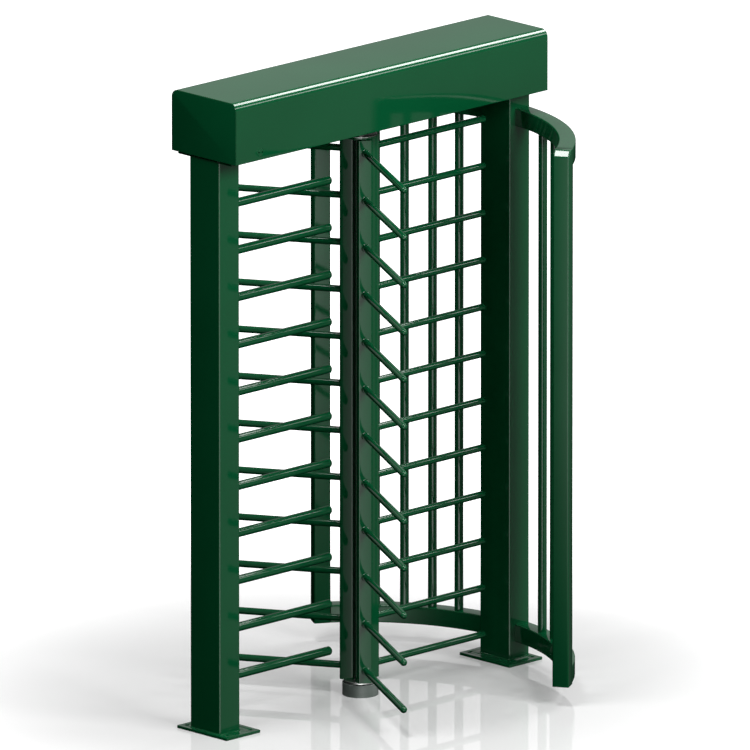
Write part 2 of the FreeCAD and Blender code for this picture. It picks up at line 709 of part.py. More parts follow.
def make_pawls():
    """Two mirrored levers that swing about a pin and drop a tooth into the lock wheel."""
    half = pawl_width / 2
    tooth_half = pawl_tooth_width / 2
    pivot = at_pawl(pawl_line, -pawl_arm)
    end = pawl_tooth_offset + pawl_width / 2
    arm = box(pawl_line - half, pawl_line + half, -pawl_arm, end, wheel_bottom, wheel_top)
    tooth = box(pawl_reach, pawl_line, pawl_tooth_offset - tooth_half, pawl_tooth_offset + tooth_half,
                wheel_bottom, wheel_top)
    boss = rod(pin_boss, plate_top + 3, wheel_top, pawl_line, -pawl_arm)
    pawl = fuse(arm, tooth, boss).cut(rod(pawl_pin + running, 0, 9000, pawl_line, -pawl_arm))
    entry = turned(pawl, pawl_side_angle)
    export("entry_pawl", entry)
    export("exit_pawl", mirrored_x(entry))
    return pivot


def make_solenoids():
    face = pawl_line + pawl_width / 2
    back = face + pawl_travel + 5 + solenoid_length
    half = solenoid_side / 2
    coil = box(back - solenoid_length, back, -half, half, plate_top, pawl_height + half + 2)
    bore = Part.makeCylinder(plunger_radius + running, 200, V(face, 0, pawl_height), V(1, 0, 0))
    coil = turned(coil.cut(bore), pawl_side_angle)
    export("lock_solenoids", coil, mirrored_x(coil))
    nose = face + 2 * free_gap + plunger_radius
    plunger = fuse(Part.makeCylinder(plunger_radius, back - nose - 6, V(nose, 0, pawl_height), V(1, 0, 0)),
                   Part.makeSphere(plunger_radius, V(nose, 0, pawl_height)))
    plunger = turned(plunger, pawl_side_angle)
    export("entry_plunger", plunger)
    export("exit_plunger", mirrored_x(plunger))


def make_index_arm():
    roller, pivot = index_places()
    low = wheel_top + 2
    link = box(0, index_arm_length, -8, 8, low, low + 6)
    heading = math.degrees(math.atan2(roller[1] - pivot[1], roller[0] - pivot[0]))
    link = moved(turned(link, heading), pivot[0], pivot[1])
    arm = fuse(link, rod(11.0, plate_top + 3, low + 10, pivot[0], pivot[1]),
               rod(9.0, low, low + 6.0, roller[0], roller[1]), rod(4.0, low, low + 20, roller[0], roller[1]))
    export("index_arm", arm.cut(rod(index_pin + running, 0, 9000, pivot[0], pivot[1])))
    export("index_roller", ring(roller_radius, 4.0 + running, low + 7, low + 17, roller[0], roller[1]))


def make_pivots(pawl_pivot):
    """Headed pivot pins on the mechanism plate, each with its coil spring under the head."""
    pins = []
    springs = []
    index_pivot = index_places()[1]
    x, y = pawl_pivot
    stations = [(x, y, pawl_pin, wheel_top + 1), (-x, y, pawl_pin, wheel_top + 1),
                (index_pivot[0], index_pivot[1], index_pin, wheel_top + 13)]
    for x, y, radius, spring_bottom in stations:
        head = spring_bottom + 10
        pins.append(fuse(rod(radius, plate_top, head, x, y), rod(radius + 4, head, head + 3, x, y)))
        springs.append(ring(radius + 3, radius + 0.6, spring_bottom, head, x, y))
    export("pivot_pins", *pins)
    export("return_springs", *springs)


# ---- control box --------------------------------------------------------------------------------
def make_control_box():
    x0 = -post_in + box_from_post
    x1 = x0 + box_length
    half = box_depth / 2
    z1 = tray_top + box_height
    shell = round_corners(x0, x1, -half, half, tray_top, z1, box_corner)
    shell = shell.cut(round_corners(x0 + box_sheet, x1 - box_sheet, -half + box_sheet, half - box_sheet,
                                    tray_top + box_sheet, z1 + 1, box_corner - box_sheet))
    x_mid = (x0 + x1) / 2
    posts = []
    for x, y in both_signs(box_length / 2 - 22, half - 22):
        posts.append(rod(board_pillar, tray_top + box_sheet, tray_top + board_lift, x_mid + x, y))
    export("control_box", fuse(shell, *posts))
    export("control_lid", round_corners(x0 - 1, x1 + 1, -half - 1, half + 1, z1, z1 + box_sheet,
                                         box_corner + 1))
    board_bottom = tray_top + board_lift
    board = box(x0 + board_inset, x1 - board_inset, -half + board_inset, half - board_inset,
                board_bottom, board_bottom + board_thickness)
    on_board = [box(x0 + 30, x0 + 75, -40, 5, board_bottom, board_bottom + 36),
                box(x1 - 34, x1 - 20, -56, 56, board_bottom, board_bottom + 16),
                box(x_mid - 10, x_mid + 20, 15, 45, board_bottom, board_bottom + 6)]
    for i in range(4):
        relay = x_mid - 30 + 24 * i
        on_board.append(box(relay, relay + 18, -52, -28, board_bottom, board_bottom + 20))
    export("control_board", fuse(board, *on_board))


def make_gland():
    gland = fuse(rod(gland_radius, tray_bottom - 22, tray_top, -post_mid, 0),
                 hex_prism(gland_flats, tray_top, tray_top + 8, -post_mid, 0),
                 rod(gland_radius + 1, tray_top + 8, tray_top + 20, -post_mid, 0))
    export("cable_gland", gland.cut(rod(gland_bore, 0, 9000, -post_mid, 0)))


os.makedirs("parts", exist_ok=True)
make_posts()
make_post_caps()
make_header()
make_tray()
make_header_screws()
make_cover_lock()
make_comb()
make_cage()
make_rotor()
make_bearings()
make_mechanism_plate()
make_lock_wheel()
make_index_cam()
make_gears()
make_counter_and_damper()
make_solenoids()
make_index_arm()
make_pivots(make_pawls())
make_control_box()
make_gland()
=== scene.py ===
# %% [markdown]
# # A visitor counter turnstile, one cell at a time
# The turnstile is a full-height gate for a museum entrance: two posts carry a box header, a rotor with three
# wings of round arms turns under it, a fixed comb closes the left side and a curved cage closes the right.
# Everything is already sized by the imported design, so the first cell loads that design as a frame. Each
# piece below reads its place from the frame, which keeps the looks and the mechanics in one set of sizes.

# %% Load the frame
import json
import math

import bmesh
import bpy
from mathutils import Matrix, Vector


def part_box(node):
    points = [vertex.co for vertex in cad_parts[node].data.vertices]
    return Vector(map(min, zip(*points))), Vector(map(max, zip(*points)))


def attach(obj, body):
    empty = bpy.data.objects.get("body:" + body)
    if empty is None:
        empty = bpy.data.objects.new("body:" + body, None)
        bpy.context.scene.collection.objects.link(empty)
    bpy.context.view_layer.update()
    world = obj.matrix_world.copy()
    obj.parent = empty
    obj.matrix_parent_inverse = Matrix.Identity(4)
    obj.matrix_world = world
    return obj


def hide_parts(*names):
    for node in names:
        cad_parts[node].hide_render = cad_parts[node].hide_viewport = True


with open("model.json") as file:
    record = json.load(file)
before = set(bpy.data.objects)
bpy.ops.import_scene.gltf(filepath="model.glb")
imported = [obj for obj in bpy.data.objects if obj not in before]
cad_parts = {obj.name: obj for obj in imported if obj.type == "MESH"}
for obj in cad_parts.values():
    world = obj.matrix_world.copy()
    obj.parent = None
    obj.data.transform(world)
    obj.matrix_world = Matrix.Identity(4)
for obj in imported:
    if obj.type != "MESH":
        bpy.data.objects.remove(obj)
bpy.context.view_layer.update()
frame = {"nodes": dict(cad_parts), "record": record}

scene = bpy.context.scene

# %% [markdown]
# ## Sizes
# A node's box gives its lowest and highest corner. Most places in this file come from those numbers, so a
# change in the design moves the looks with it. A size that a box can't tell, such as the roll of a sheet's
# edge or the wall of a tube, is named once, here or in the cell that first needs it.

# %% Read the sizes
COVER_LO, COVER_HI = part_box("header_cover")
DRUM_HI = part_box("floor_drum")[1]
ARMS_LO, ARMS_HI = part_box("rotor_arms_a")
TUBE_LO, TUBE_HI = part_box("rotor_tube_a")
COMB_LO, COMB_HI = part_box("comb_bars")
POST_LO, POST_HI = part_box("left_post")
UPRIGHT_LO, UPRIGHT_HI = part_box("cage_upright_back")
RIGHT_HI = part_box("right_post")[1]

MM = 0.001
HEADER_ROLL = 28 * MM
SHEET = 2.5 * MM
POST_ROLL = 7 * MM
POST_WALL = 4 * MM
TUBE_ROLL = 5 * MM
TUBE_WALL = 3 * MM
ARM_COUNT = 12
WING_TURNS = {"a": 0.0, "b": math.radians(120), "c": math.radians(240)}
arm_radius = (ARMS_HI.y - ARMS_LO.y) / 2
arm_levels = [ARMS_LO.z + arm_radius + i * (ARMS_HI.z - ARMS_LO.z - 2 * arm_radius) / (ARM_COUNT - 1)
              for i in range(ARM_COUNT)]
comb_radius = (COMB_HI.y - COMB_LO.y) / 2
print("arm radius", round(arm_radius, 4), "pitch", round(arm_levels[1] - arm_levels[0], 4))

# %% [markdown]
# ## A small language for node trees
# Shader maths and Geometry Nodes are both trees of nodes joined by links. Written out node by node they hide
# what they calculate. A `Term` wraps one output socket and turns `+ - * /` into Math nodes, so a mask can be
# written as a formula. `Net.node` makes any other node: its type, its settings, then its sockets.

# %% Terms and nets
class Term:
    """One output socket, ready for arithmetic."""

    def __init__(self, net, socket):
        self.net = net
        self.socket = socket

    def math(self, operation, *others):
        values = dict(enumerate([self, *others]))
        return self.net.node("ShaderNodeMath", {"operation": operation}, values)[0]

    def __add__(self, other):
        return self.math("ADD", other)

    def __sub__(self, other):
        return self.math("SUBTRACT", other)

    def __mul__(self, other):
        return self.math("MULTIPLY", other)

    def __truediv__(self, other):
        return self.math("DIVIDE", other)

    def __pow__(self, other):
        return self.math("POWER", other)

    def __rsub__(self, other):
        return self.net.node("ShaderNodeMath", {"operation": "SUBTRACT"}, {0: other, 1: self})[0]

    def __rtruediv__(self, other):
        return self.net.node("ShaderNodeMath", {"operation": "DIVIDE"}, {0: other, 1: self})[0]

    __radd__ = __add__
    __rmul__ = __mul__

    def clamped(self, low, high):
        """0 below low, 1 above high, and a smooth ramp between them."""
        settings = {"interpolation_type": "SMOOTHSTEP"}
        values = {"Value": self, "From Min": low, "From Max": high}
        return self.net.node("ShaderNodeMapRange", settings, values)["Result"]


class Made:
    """A node just made; made[name or number] is one of its outputs."""

    def __init__(self, net, node):
        self.net = net
        self.raw = node

    def __getitem__(self, key):
        return Term(self.net, self.raw.outputs[key])


class Net:
    """Builds nodes in one tree."""

    def __init__(self, tree):
        self.tree = tree

    def node(self, kind, settings=None, values=None):
        """Settings are set first, because they can change which sockets a node has."""
        node = self.tree.nodes.new(kind)
        for name, value in (settings or {}).items():
            setattr(node, name, value)
        for name, value in (values or {}).items():
            if isinstance(value, Term):
                self.tree.links.new(value.socket, node.inputs[name])
            else:
                node.inputs[name].default_value = value
        return Made(self, node)


print("node helpers ready")

# %% [markdown]
# ## The view
# A product picture of something this tall is taken from far away with a long lens, so upright edges stay
# upright and the two ends of the header are drawn at nearly the same scale. The camera stands 120 m off.

# %% Place the camera
VIEW_TURN = math.radians(-44.57)
VIEW_RISE = math.radians(14.70)
VIEW_DISTANCE = 120.0
FRAME_WIDTH = 2.643
AIM_HEIGHT = 1.15
SIDE_SHIFT = 51.6 * MM
UP_SHIFT = 12.8 * MM


def direction(turn, rise):
    """The way from the turnstile to a place: turn goes round it from the front, rise goes up."""
    return Vector((math.sin(turn) * math.cos(rise), -math.cos(turn) * math.cos(rise), math.sin(rise)))


def add_camera():
    back = direction(VIEW_TURN, VIEW_RISE)
    aim = (-back).to_track_quat("-Z", "Y")
    side = aim @ Vector((1, 0, 0))
    up = aim @ Vector((0, 1, 0))
    target = Vector((0, 0, AIM_HEIGHT)) + side * SIDE_SHIFT + up * UP_SHIFT
    camera = bpy.data.objects.new("camera", bpy.data.cameras.new("camera"))
    camera.rotation_euler = aim.to_euler()
    camera.location = target + back * VIEW_DISTANCE
    camera.data.lens = camera.data.sensor_width * VIEW_DISTANCE / FRAME_WIDTH
    camera.data.clip_end = 2 * VIEW_DISTANCE
    scene.collection.objects.link(camera)
    scene.camera = camera
    return camera


print("lens", round(add_camera().data.lens, 1), "mm")

# %% [markdown]
# ## The studio
# Glossy paint shows the room it stands in, so the room matters as much as the paint. Upright faces seen from
# a little above mirror what lies just under the horizon, so the world has a low bright wall in front, with
# two dim ones to the side and behind and a faint sky. A narrow strong patch, the kicker, lights the rounded
# upright corners. All of it is a formula of the direction. The camera itself sees plain white there, as it
# would on a paper backdrop, which the Light Path node decides. Four lamps then put highlights on the bars,
# the header's roll and the sloping tops, each from the one direction that its highlight needs.

# %% Build the studio light
FRONT_WALL = {"turn": -35, "level": -0.25, "strength": 1.35, "narrowness": 5}
KICKER = {"turn": -44.57, "level": -0.25, "strength": 2.0, "narrowness": 60}
SIDE_GLOW = {"turn": 45, "level": -0.25, "strength": 0.26, "narrowness": 2}
FAR_WALL = {"turn": 135, "level": 0.25, "strength": 0.27, "narrowness": 2}
WALL_EDGE = (0.10, 0.38)
SKY = 0.16
SKY_EDGE = (-0.05, 0.35)
LEAST_LEVEL = 0.0001
LAMP_AIM_HEIGHT = 1.1


def build_world():
    world = bpy.data.worlds.new("studio")
    world.use_nodes = True
    world.node_tree.nodes.clear()
    net = Net(world.node_tree)
    way = net.node("ShaderNodeTexCoord")["Generated"]
    axes = net.node("ShaderNodeSeparateXYZ", values={0: way})
    level_part = (1 - axes["Z"] * axes["Z"]).math("MAXIMUM", LEAST_LEVEL).math("SQRT")

    def wall(turn, level, strength, narrowness):
        """A soft bright patch round a turn and a height, both fading out smoothly."""
        heading = math.radians(turn)
        toward = (axes["X"] * math.sin(heading) - axes["Y"] * math.cos(heading)) / level_part
        height = 1 - (axes["Z"] - level).math("ABSOLUTE").clamped(*WALL_EDGE)
        return toward.math("MAXIMUM", 0.0) ** narrowness * height * strength

    light = axes["Z"].clamped(*SKY_EDGE) * SKY
    for patch in (FRONT_WALL, KICKER, SIDE_GLOW, FAR_WALL):
        light = light + wall(**patch)
    seen = net.node("ShaderNodeBackground", values={"Color": (1, 1, 1, 1), "Strength": 1.0})
    studio = net.node("ShaderNodeBackground", values={"Color": (1, 1, 1, 1), "Strength": light})
    camera_ray = net.node("ShaderNodeLightPath")["Is Camera Ray"]
    mixed = net.node("ShaderNodeMixShader", values={0: camera_ray, 1: studio[0], 2: seen[0]})
    net.node("ShaderNodeOutputWorld", values={"Surface": mixed[0]})
    scene.world = world


def add_softbox(name, turn, rise, distance, width, height, radiance):
    """A rectangular lamp that faces the turnstile's middle; radiance is the brightness of its face."""
    lamp = bpy.data.lights.new(name, "AREA")
    lamp.shape = "RECTANGLE"
    lamp.size = width
    lamp.size_y = height
    lamp.energy = radiance * math.pi * width * height
    way = direction(math.radians(turn), math.radians(rise))
    body = bpy.data.objects.new(name, lamp)
    body.location = Vector((0, 0, LAMP_AIM_HEIGHT)) + way * distance
    body.rotation_euler = (-way).to_track_quat("-Z", "Y").to_euler()
    scene.collection.objects.link(body)


build_world()
scene.view_settings.view_transform = "Standard"
add_softbox("front_softbox", turn=2, rise=35, distance=9.0, width=4.5, height=3.5, radiance=9.8)
add_softbox("strip_light", turn=88, rise=48, distance=20.0, width=8.0, height=2.4, radiance=15.0)
add_softbox("side_strip", turn=51, rise=28, distance=20.0, width=7.0, height=2.6, radiance=6.0)
add_softbox("overhead_softbox", turn=-91, rise=74.7, distance=8.7, width=2.5, height=2.1, radiance=21.0)
print("softboxes", len(bpy.data.lights))

# %% [markdown]
# ## The floor
# The floor is polished white resin. It is kept out of the paint's own reflections and bounce light, so that
# the green stays deep near the ground, and it still shows the turnstile upside down, as a wet floor would.
# It gives off a little light near the turnstile and more further off, in place of the lamps that would
# light a studio's backdrop.

# %% Lay the floor
FLOOR_REACH = 60.0
GLOW_EDGE = (0.8, 2.6)
GLOW_NEAR = (0.15, 0.15, 0.15, 1)
GLOW_FAR = (1, 1, 1, 1)


def add_floor():
    mesh = bpy.data.meshes.new("studio_floor")
    corners = [(x * FLOOR_REACH, y * FLOOR_REACH, 0) for x, y in ((-1, -1), (1, -1), (1, 1), (-1, 1))]
    mesh.from_pydata(corners, [], [(0, 1, 2, 3)])
    floor = bpy.data.objects.new("studio_floor", mesh)
    scene.collection.objects.link(floor)
    floor.visible_glossy = False
    floor.visible_diffuse = False
    material = bpy.data.materials.new("white_resin_floor")
    material.use_nodes = True
    material.node_tree.nodes.clear()
    net = Net(material.node_tree)
    place = net.node("ShaderNodeTexCoord")["Object"]
    mottle = net.node("ShaderNodeTexNoise", values={"Vector": place, "Scale": 1.5, "Detail": 3.0})["Fac"]
    away = net.node("ShaderNodeVectorMath", {"operation": "LENGTH"}, {0: place})["Value"]
    glow = net.node("ShaderNodeMix", {"data_type": "RGBA"}, {
        "Factor": away.clamped(*GLOW_EDGE), 6: GLOW_NEAR, 7: GLOW_FAR})[2]
    shader = net.node("ShaderNodeBsdfPrincipled", values={
        "Base Color": (0.93, 0.93, 0.93, 1), "Roughness": 0.015 + mottle * 0.02, "IOR": 2.4,
        "Emission Color": glow, "Emission Strength": 1.0})
    net.node("ShaderNodeOutputMaterial", values={"Surface": shader[0]})
    floor.data.materials.append(material)
    return floor


print("floor", add_floor().name)

# %% [markdown]
# ## The finishes
# Every finish is one Principled shader whose colour, roughness and bump vary a little over the surface, read
# from Object coordinates. The pieces sit at the origin, so the pattern keeps its scale on each of them and
# stays put when a wing turns. Numbers that are the same all over go straight on the shader's own sockets.

# %% Helpers for finishes
finishes = {}


def finish(name, paint, **fixed):
    """Makes a material; paint(net, place) returns what varies, and fixed holds the constant sockets."""
    material = bpy.data.materials.new(name)
    material.use_nodes = True
    material.node_tree.nodes.clear()
    net = Net(material.node_tree)
    place = net.node("ShaderNodeTexCoord")["Object"]
    values = {key.replace("_", " "): value for key, value in fixed.items()}
    shader = net.node("ShaderNodeBsdfPrincipled", values={**values, **paint(net, place)})
    net.node("ShaderNodeOutputMaterial", values={"Surface": shader[0]})
    finishes[name] = material


def noise(net, place, scale, detail=3.0, roughness=0.5):
    values = {"Vector": place, "Scale": scale, "Detail": detail, "Roughness": roughness}
    return net.node("ShaderNodeTexNoise", values=values)["Fac"]


def blend_colours(net, amount, first, second):
    values = {"Factor": amount, 6: (*first, 1), 7: (*second, 1)}
    return net.node("ShaderNodeMix", {"data_type": "RGBA"}, values)[2]


def bump(net, height, strength, distance):
    values = {"Height": height, "Strength": strength, "Distance": distance}
    return net.node("ShaderNodeBump", values=values)["Normal"]


print("finish helpers ready")

# %% [markdown]
# ## Gloss green enamel
# The whole outside is sprayed with one deep green and baked until it flows out nearly as smooth as glass.
# Sprayed paint still dries with a faint ripple called orange peel, which bends a reflection's edge without
# hiding it. The colour drifts by about a tenth over the surface, and the gloss with it.

# %% Gloss green
ENAMEL = (0.0017, 0.094, 0.030)
ENAMEL_LIGHT = (0.0026, 0.106, 0.035)


def paint_green(net, place):
    drift = noise(net, place, 2.2, 2.0)
    tone = blend_colours(net, drift.clamped(0.3, 0.7), ENAMEL, ENAMEL_LIGHT)
    peel = noise(net, place, 220.0, 1.0)
    return {"Base Color": tone, "Roughness": 0.045 + drift * 0.05,
            "Normal": bump(net, peel, 0.035, 0.0004)}


finish("gloss_green_enamel", paint_green, IOR=1.5, Specular_IOR_Level=0.5)
print("finishes", len(finishes))

# %% [markdown]
# ## Bare and plated metal
# Screws, plates and the thin washer are zinc plated: a pale metal with cloudy crystals. Turned steel shows
# fine rings instead, so its bump is a wave of the distance from the rotor's axis. Pieces that stand off that
# axis get the same wave as nearly straight lines, as milling leaves. The cast drum is grey paint over a
# sand-cast skin, which is why its bump is coarse and its gloss low. The control box is brushed aluminium,
# whose lines come from a noise that is stretched along the header.

# %% Metals
def paint_zinc(net, place):
    cells = net.node("ShaderNodeTexVoronoi", values={"Vector": place, "Scale": 210.0, "Randomness": 1.0})
    cloud = noise(net, place, 25.0)
    tone = blend_colours(net, cells["Distance"] * 0.6 + cloud * 0.4,
                         (0.60, 0.62, 0.60), (0.78, 0.80, 0.77))
    return {"Base Color": tone, "Roughness": 0.24 + cloud * 0.14, "Normal": bump(net, cloud, 0.05, 0.0003)}


def paint_turned(net, place):
    axes = net.node("ShaderNodeSeparateXYZ", values={0: place})
    across = (axes["X"] * axes["X"] + axes["Y"] * axes["Y"]).math("SQRT")
    rings = (across * 5200.0).math("SINE") * 0.5 + 0.5
    oil = noise(net, place, 30.0)
    tone = blend_colours(net, oil, (0.42, 0.43, 0.44), (0.60, 0.61, 0.62))
    return {"Base Color": tone, "Roughness": 0.26 + rings * 0.08 + oil * 0.1,
            "Normal": bump(net, rings, 0.12, 0.0001)}


def paint_cast(net, place):
    sand = noise(net, place, 420.0, 4.0, 0.7)
    wear = noise(net, place, 18.0)
    tone = blend_colours(net, wear.clamped(0.35, 0.7), (0.150, 0.185, 0.165), (0.205, 0.240, 0.220))
    return {"Base Color": tone, "Roughness": 0.38 + wear * 0.15, "Normal": bump(net, sand, 0.35, 0.0005)}


def paint_brushed(net, place):
    grain = net.node("ShaderNodeMapping", values={"Vector": place, "Scale": (4.0, 900.0, 900.0)})[0]
    lines = noise(net, grain, 1.0, 2.0)
    tone = blend_colours(net, lines, (0.56, 0.57, 0.58), (0.70, 0.71, 0.72))
    return {"Base Color": tone, "Roughness": 0.30 + lines * 0.15, "Normal": bump(net, lines, 0.10, 0.0001)}


finish("zinc_plate", paint_zinc, Metallic=1.0)
finish("turned_steel", paint_turned, Metallic=1.0)
finish("cast_grey_paint", paint_cast)
finish("brushed_aluminium", paint_brushed, Metallic=1.0)
print("finishes", len(finishes))

# %% [markdown]
# ## Plastic and board
# Moulded housings have a spark-eroded texture, which is a fine even noise. The controller's board is green
# lacquer over copper tracks: a brick pattern makes straight tracks of even width that turn at right angles.

# %% Plastic and board
def paint_moulded(net, place):
    grain = noise(net, place, 900.0, 2.0)
    shade = noise(net, place, 20.0)
    tone = blend_colours(net, shade, (0.010, 0.010, 0.011), (0.022, 0.022, 0.024))
    return {"Base Color": tone, "Roughness": 0.45 + grain * 0.2, "Normal": bump(net, grain, 0.25, 0.0002)}


def paint_board(net, place):
    values = {"Vector": place, "Scale": 60.0, "Mortar Size": 0.012, "Color1": (0.006, 0.075, 0.030, 1),
              "Color2": (0.008, 0.095, 0.038, 1), "Mortar": (0.10, 0.22, 0.05, 1)}
    tracks = net.node("ShaderNodeTexBrick", values=values)
    return {"Base Color": tracks["Color"], "Roughness": 0.30 + tracks["Fac"] * 0.2,
            "Normal": bump(net, tracks["Fac"], 0.2, 0.0002)}


finish("moulded_black", paint_moulded)
finish("board_lacquer", paint_board)
print("finishes", sorted(finishes))

# %% [markdown]
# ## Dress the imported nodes
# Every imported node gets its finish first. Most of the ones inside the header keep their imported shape, and
# the pieces made further down stand in for the others. The record says which slot a node takes, and one
# table turns slots into finishes.

# %% Dress the nodes
FINISH_OF_SLOT = {
    "gloss_green": "gloss_green_enamel",
    "zinc_plated": "zinc_plate",
    "machined_steel": "turned_steel",
    "cast_drum": "cast_grey_paint",
    "black_plastic": "moulded_black",
    "box_aluminium": "brushed_aluminium",
    "circuit_board": "board_lacquer",
}


def dress_nodes():
    for entry in frame["record"]["subparts"]:
        node = frame["nodes"][entry["node"]]
        material = finishes[FINISH_OF_SLOT[entry["material_slot"]]]
        node.data.materials.clear()
        node.data.materials.append(material)


dress_nodes()

# %% [markdown]
# ## Skins, cuts and rounded edges
# Most parts of the turnstile are one outline carried along a path: a post is a rounded rectangle carried up,
# a rail is one carried round an arc, and a disc is one carried round its own axis. One function skins a list
# of loops for all of them. A second one cuts holes and rounds the sharp edges, because the edges of a real
# painted part have a small radius, which catches the light as a thin line.

# %% Helpers for solid pieces
SHARP_ANGLE = math.radians(40)
SMOOTH_ANGLE = math.radians(32)
BEVEL_SEGMENTS = 2


def skin(rings, around=False):
    """Joins loops with equal point counts; around closes the last loop onto the first instead of capping."""
    shape = bmesh.new()
    loops = [[shape.verts.new(point) for point in ring] for ring in rings]
    pairs = list(zip(loops, loops[1:])) + ([(loops[-1], loops[0])] if around else [])
    for low, high in pairs:
        for i, corner in enumerate(low):
            j = (i + 1) % len(low)
            shape.faces.new((corner, low[j], high[j], high[i]))
    if not around:
        shape.faces.new(loops[0])
        shape.faces.new(loops[-1])
    bmesh.ops.recalc_face_normals(shape, faces=shape.faces)
    mesh = bpy.data.meshes.new("skin")
    shape.to_mesh(mesh)
    shape.free()
    return mesh


def arc(centre, radius, first, last, steps=6):
    """Points on an arc in the plane; first and last are in degrees."""
    angles = [math.radians(first + (last - first) * i / steps) for i in range(steps + 1)]
    return [(centre[0] + radius * math.cos(a), centre[1] + radius * math.sin(a)) for a in angles]


def rounded_outline(a0, a1, b0, b1, radius, steps=6):
    """Rectangle with rounded corners, as points in the plane."""
    corners = (((a1, b1), -1, -1, 0), ((a0, b1), 1, -1, 90), ((a0, b0), 1, 1, 180), ((a1, b0), -1, 1, 270))
    points = []
    for (a, b), sa, sb, start in corners:
        points += arc((a + sa * radius, b + sb * radius), radius, start, start + 90, steps)
    return points


def solid_of(worker):
    """The evaluated object as a plain mesh; the object and its modifiers are then removed."""
    depsgraph = bpy.context.evaluated_depsgraph_get()
    mesh = bpy.data.meshes.new_from_object(worker.evaluated_get(depsgraph), depsgraph=depsgraph)
    worker.modifiers.clear()
    bpy.data.objects.remove(worker)
    return mesh


def worked(mesh, cuts=(), edge=0.0):
    """Cuts shapes out of a mesh, then rounds its sharp edges."""
    worker = bpy.data.objects.new("worker", mesh)
    scene.collection.objects.link(worker)
    tools = []
    for cut in cuts:
        tool = bpy.data.objects.new("tool", cut)
        scene.collection.objects.link(tool)
        tools.append(tool)
        modifier = worker.modifiers.new("cut", "BOOLEAN")
        modifier.operation = "DIFFERENCE"
        modifier.solver = "EXACT"
        modifier.object = tool
    if edge:
        modifier = worker.modifiers.new("edge", "BEVEL")
        modifier.width = edge
        modifier.segments = BEVEL_SEGMENTS
        modifier.limit_method = "ANGLE"
        modifier.angle_limit = SHARP_ANGLE
    result = solid_of(worker)
    for tool in tools:
        bpy.data.objects.remove(tool)
    return result


def pin(radius, start, end, steps=32):
    """A plain cylinder between two points, used only as a cutting tool."""
    way = end - start
    turn = way.to_track_quat("Z", "Y")
    angles = [2 * math.pi * i / steps for i in range(steps)]
    loop = [Vector((radius * math.cos(a), radius * math.sin(a), 0)) for a in angles]
    return skin([[base + turn @ point for point in loop] for base in (start, end)])


def turned(mesh, turn):
    """The same mesh, turned about the rotor's axis."""
    mesh.transform(Matrix.Rotation(turn, 4, "Z"))
    return mesh


def keep(name, mesh, slot, body, *replaced):
    """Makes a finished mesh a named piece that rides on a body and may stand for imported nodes."""
    mesh.name = name
    mesh.materials.clear()
    mesh.materials.append(finishes[FINISH_OF_SLOT[slot]])
    mesh.shade_smooth()
    mesh.set_sharp_from_angle(angle=SMOOTH_ANGLE)
    piece = bpy.data.objects.new(name, mesh)
    scene.collection.objects.link(piece)
    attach(piece, body)
    if replaced:
        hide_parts(*replaced)


print("solid helpers ready")

# %% [markdown]
# ## Posts
# A post is a standard 100 by 150 mm steel tube with rounded corners. Its wall is a second, smaller loop
# inside, and skinning outside, top, inside and bottom in a ring makes a closed tube.

# %% Posts
LEAST_CORNER = 1 * MM


def tube_mesh(x0, x1, y0, y1, z0, z1, corner, wall):
    outside = rounded_outline(x0, x1, y0, y1, corner)
    inside = rounded_outline(x0 + wall, x1 - wall, y0 + wall, y1 - wall, max(corner - wall, LEAST_CORNER))
    stations = ((outside, z0), (outside, z1), (inside, z1), (inside, z0))
    return skin([[(x, y, z) for x, y in loop] for loop, z in stations], around=True)


def make_posts():
    for side in ("left", "right"):
        low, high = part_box(side + "_post")
        mesh = tube_mesh(low.x, high.x, low.y, high.y, low.z, high.z, POST_ROLL, POST_WALL)
        keep(side + "_post_tube", mesh, "gloss_green", "frame", side + "_post")


make_posts()
print("post corner", POST_ROLL)

# %% [markdown]
# ## Floor plates
# A plate under each post has four holes for floor bolts, and the left one also lets the cable in. It is
# laser cut, so its rim is crisp, but the enamel builds up a small radius there, which a bevel makes after
# the holes are cut. The drills that cut them stick out of the plate at both faces.

# %% Floor plates
PLATE_CORNER = 0.5 * MM
PLATE_EDGE = 1.0 * MM
ANCHOR_INSET = 25 * MM
ANCHOR_HOLE = 14 * MM
CABLE_HOLE = 40 * MM
DRILL_START = -10 * MM
DRILL_END = 30 * MM


def plate_mesh(x0, x1, y0, y1, z0, z1):
    return skin([[(x, y, z) for x, y in rounded_outline(x0, x1, y0, y1, PLATE_CORNER, 2)] for z in (z0, z1)])


def drill(diameter, x, y):
    return pin(diameter / 2, Vector((x, y, DRILL_START)), Vector((x, y, DRILL_END)))


def make_floor_plates():
    for side in ("left", "right"):
        low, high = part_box(side + "_floor_plate")
        holes = []
        for x in (low.x + ANCHOR_INSET, high.x - ANCHOR_INSET):
            for y in (low.y + ANCHOR_INSET, high.y - ANCHOR_INSET):
                holes.append(drill(ANCHOR_HOLE, x, y))
        if side == "left":
            holes.append(drill(CABLE_HOLE, (POST_LO.x + POST_HI.x) / 2, 0))
        mesh = worked(plate_mesh(low.x, high.x, low.y, high.y, low.z, high.z), holes, PLATE_EDGE)
        keep(side + "_plate", mesh, "gloss_green", "frame", side + "_floor_plate")
        print(side, "plate", len(mesh.polygons), "faces")


make_floor_plates()

# %% [markdown]
# ## The header
# The header is a folded cover over a tray. The cover is one sheet: a lip turned in at the bottom, the front,
# a generous roll, the top, and the same again behind. Its outline is drawn as arcs and straight runs on the
# outside and, one sheet thickness in, on the inside, then carried along the header. A round window is cut
# in front for the lock. Each end is a plate welded on flush, with square lower corners and a fine rounded
# rim, so it takes the cover's outline without its lip and its bend.

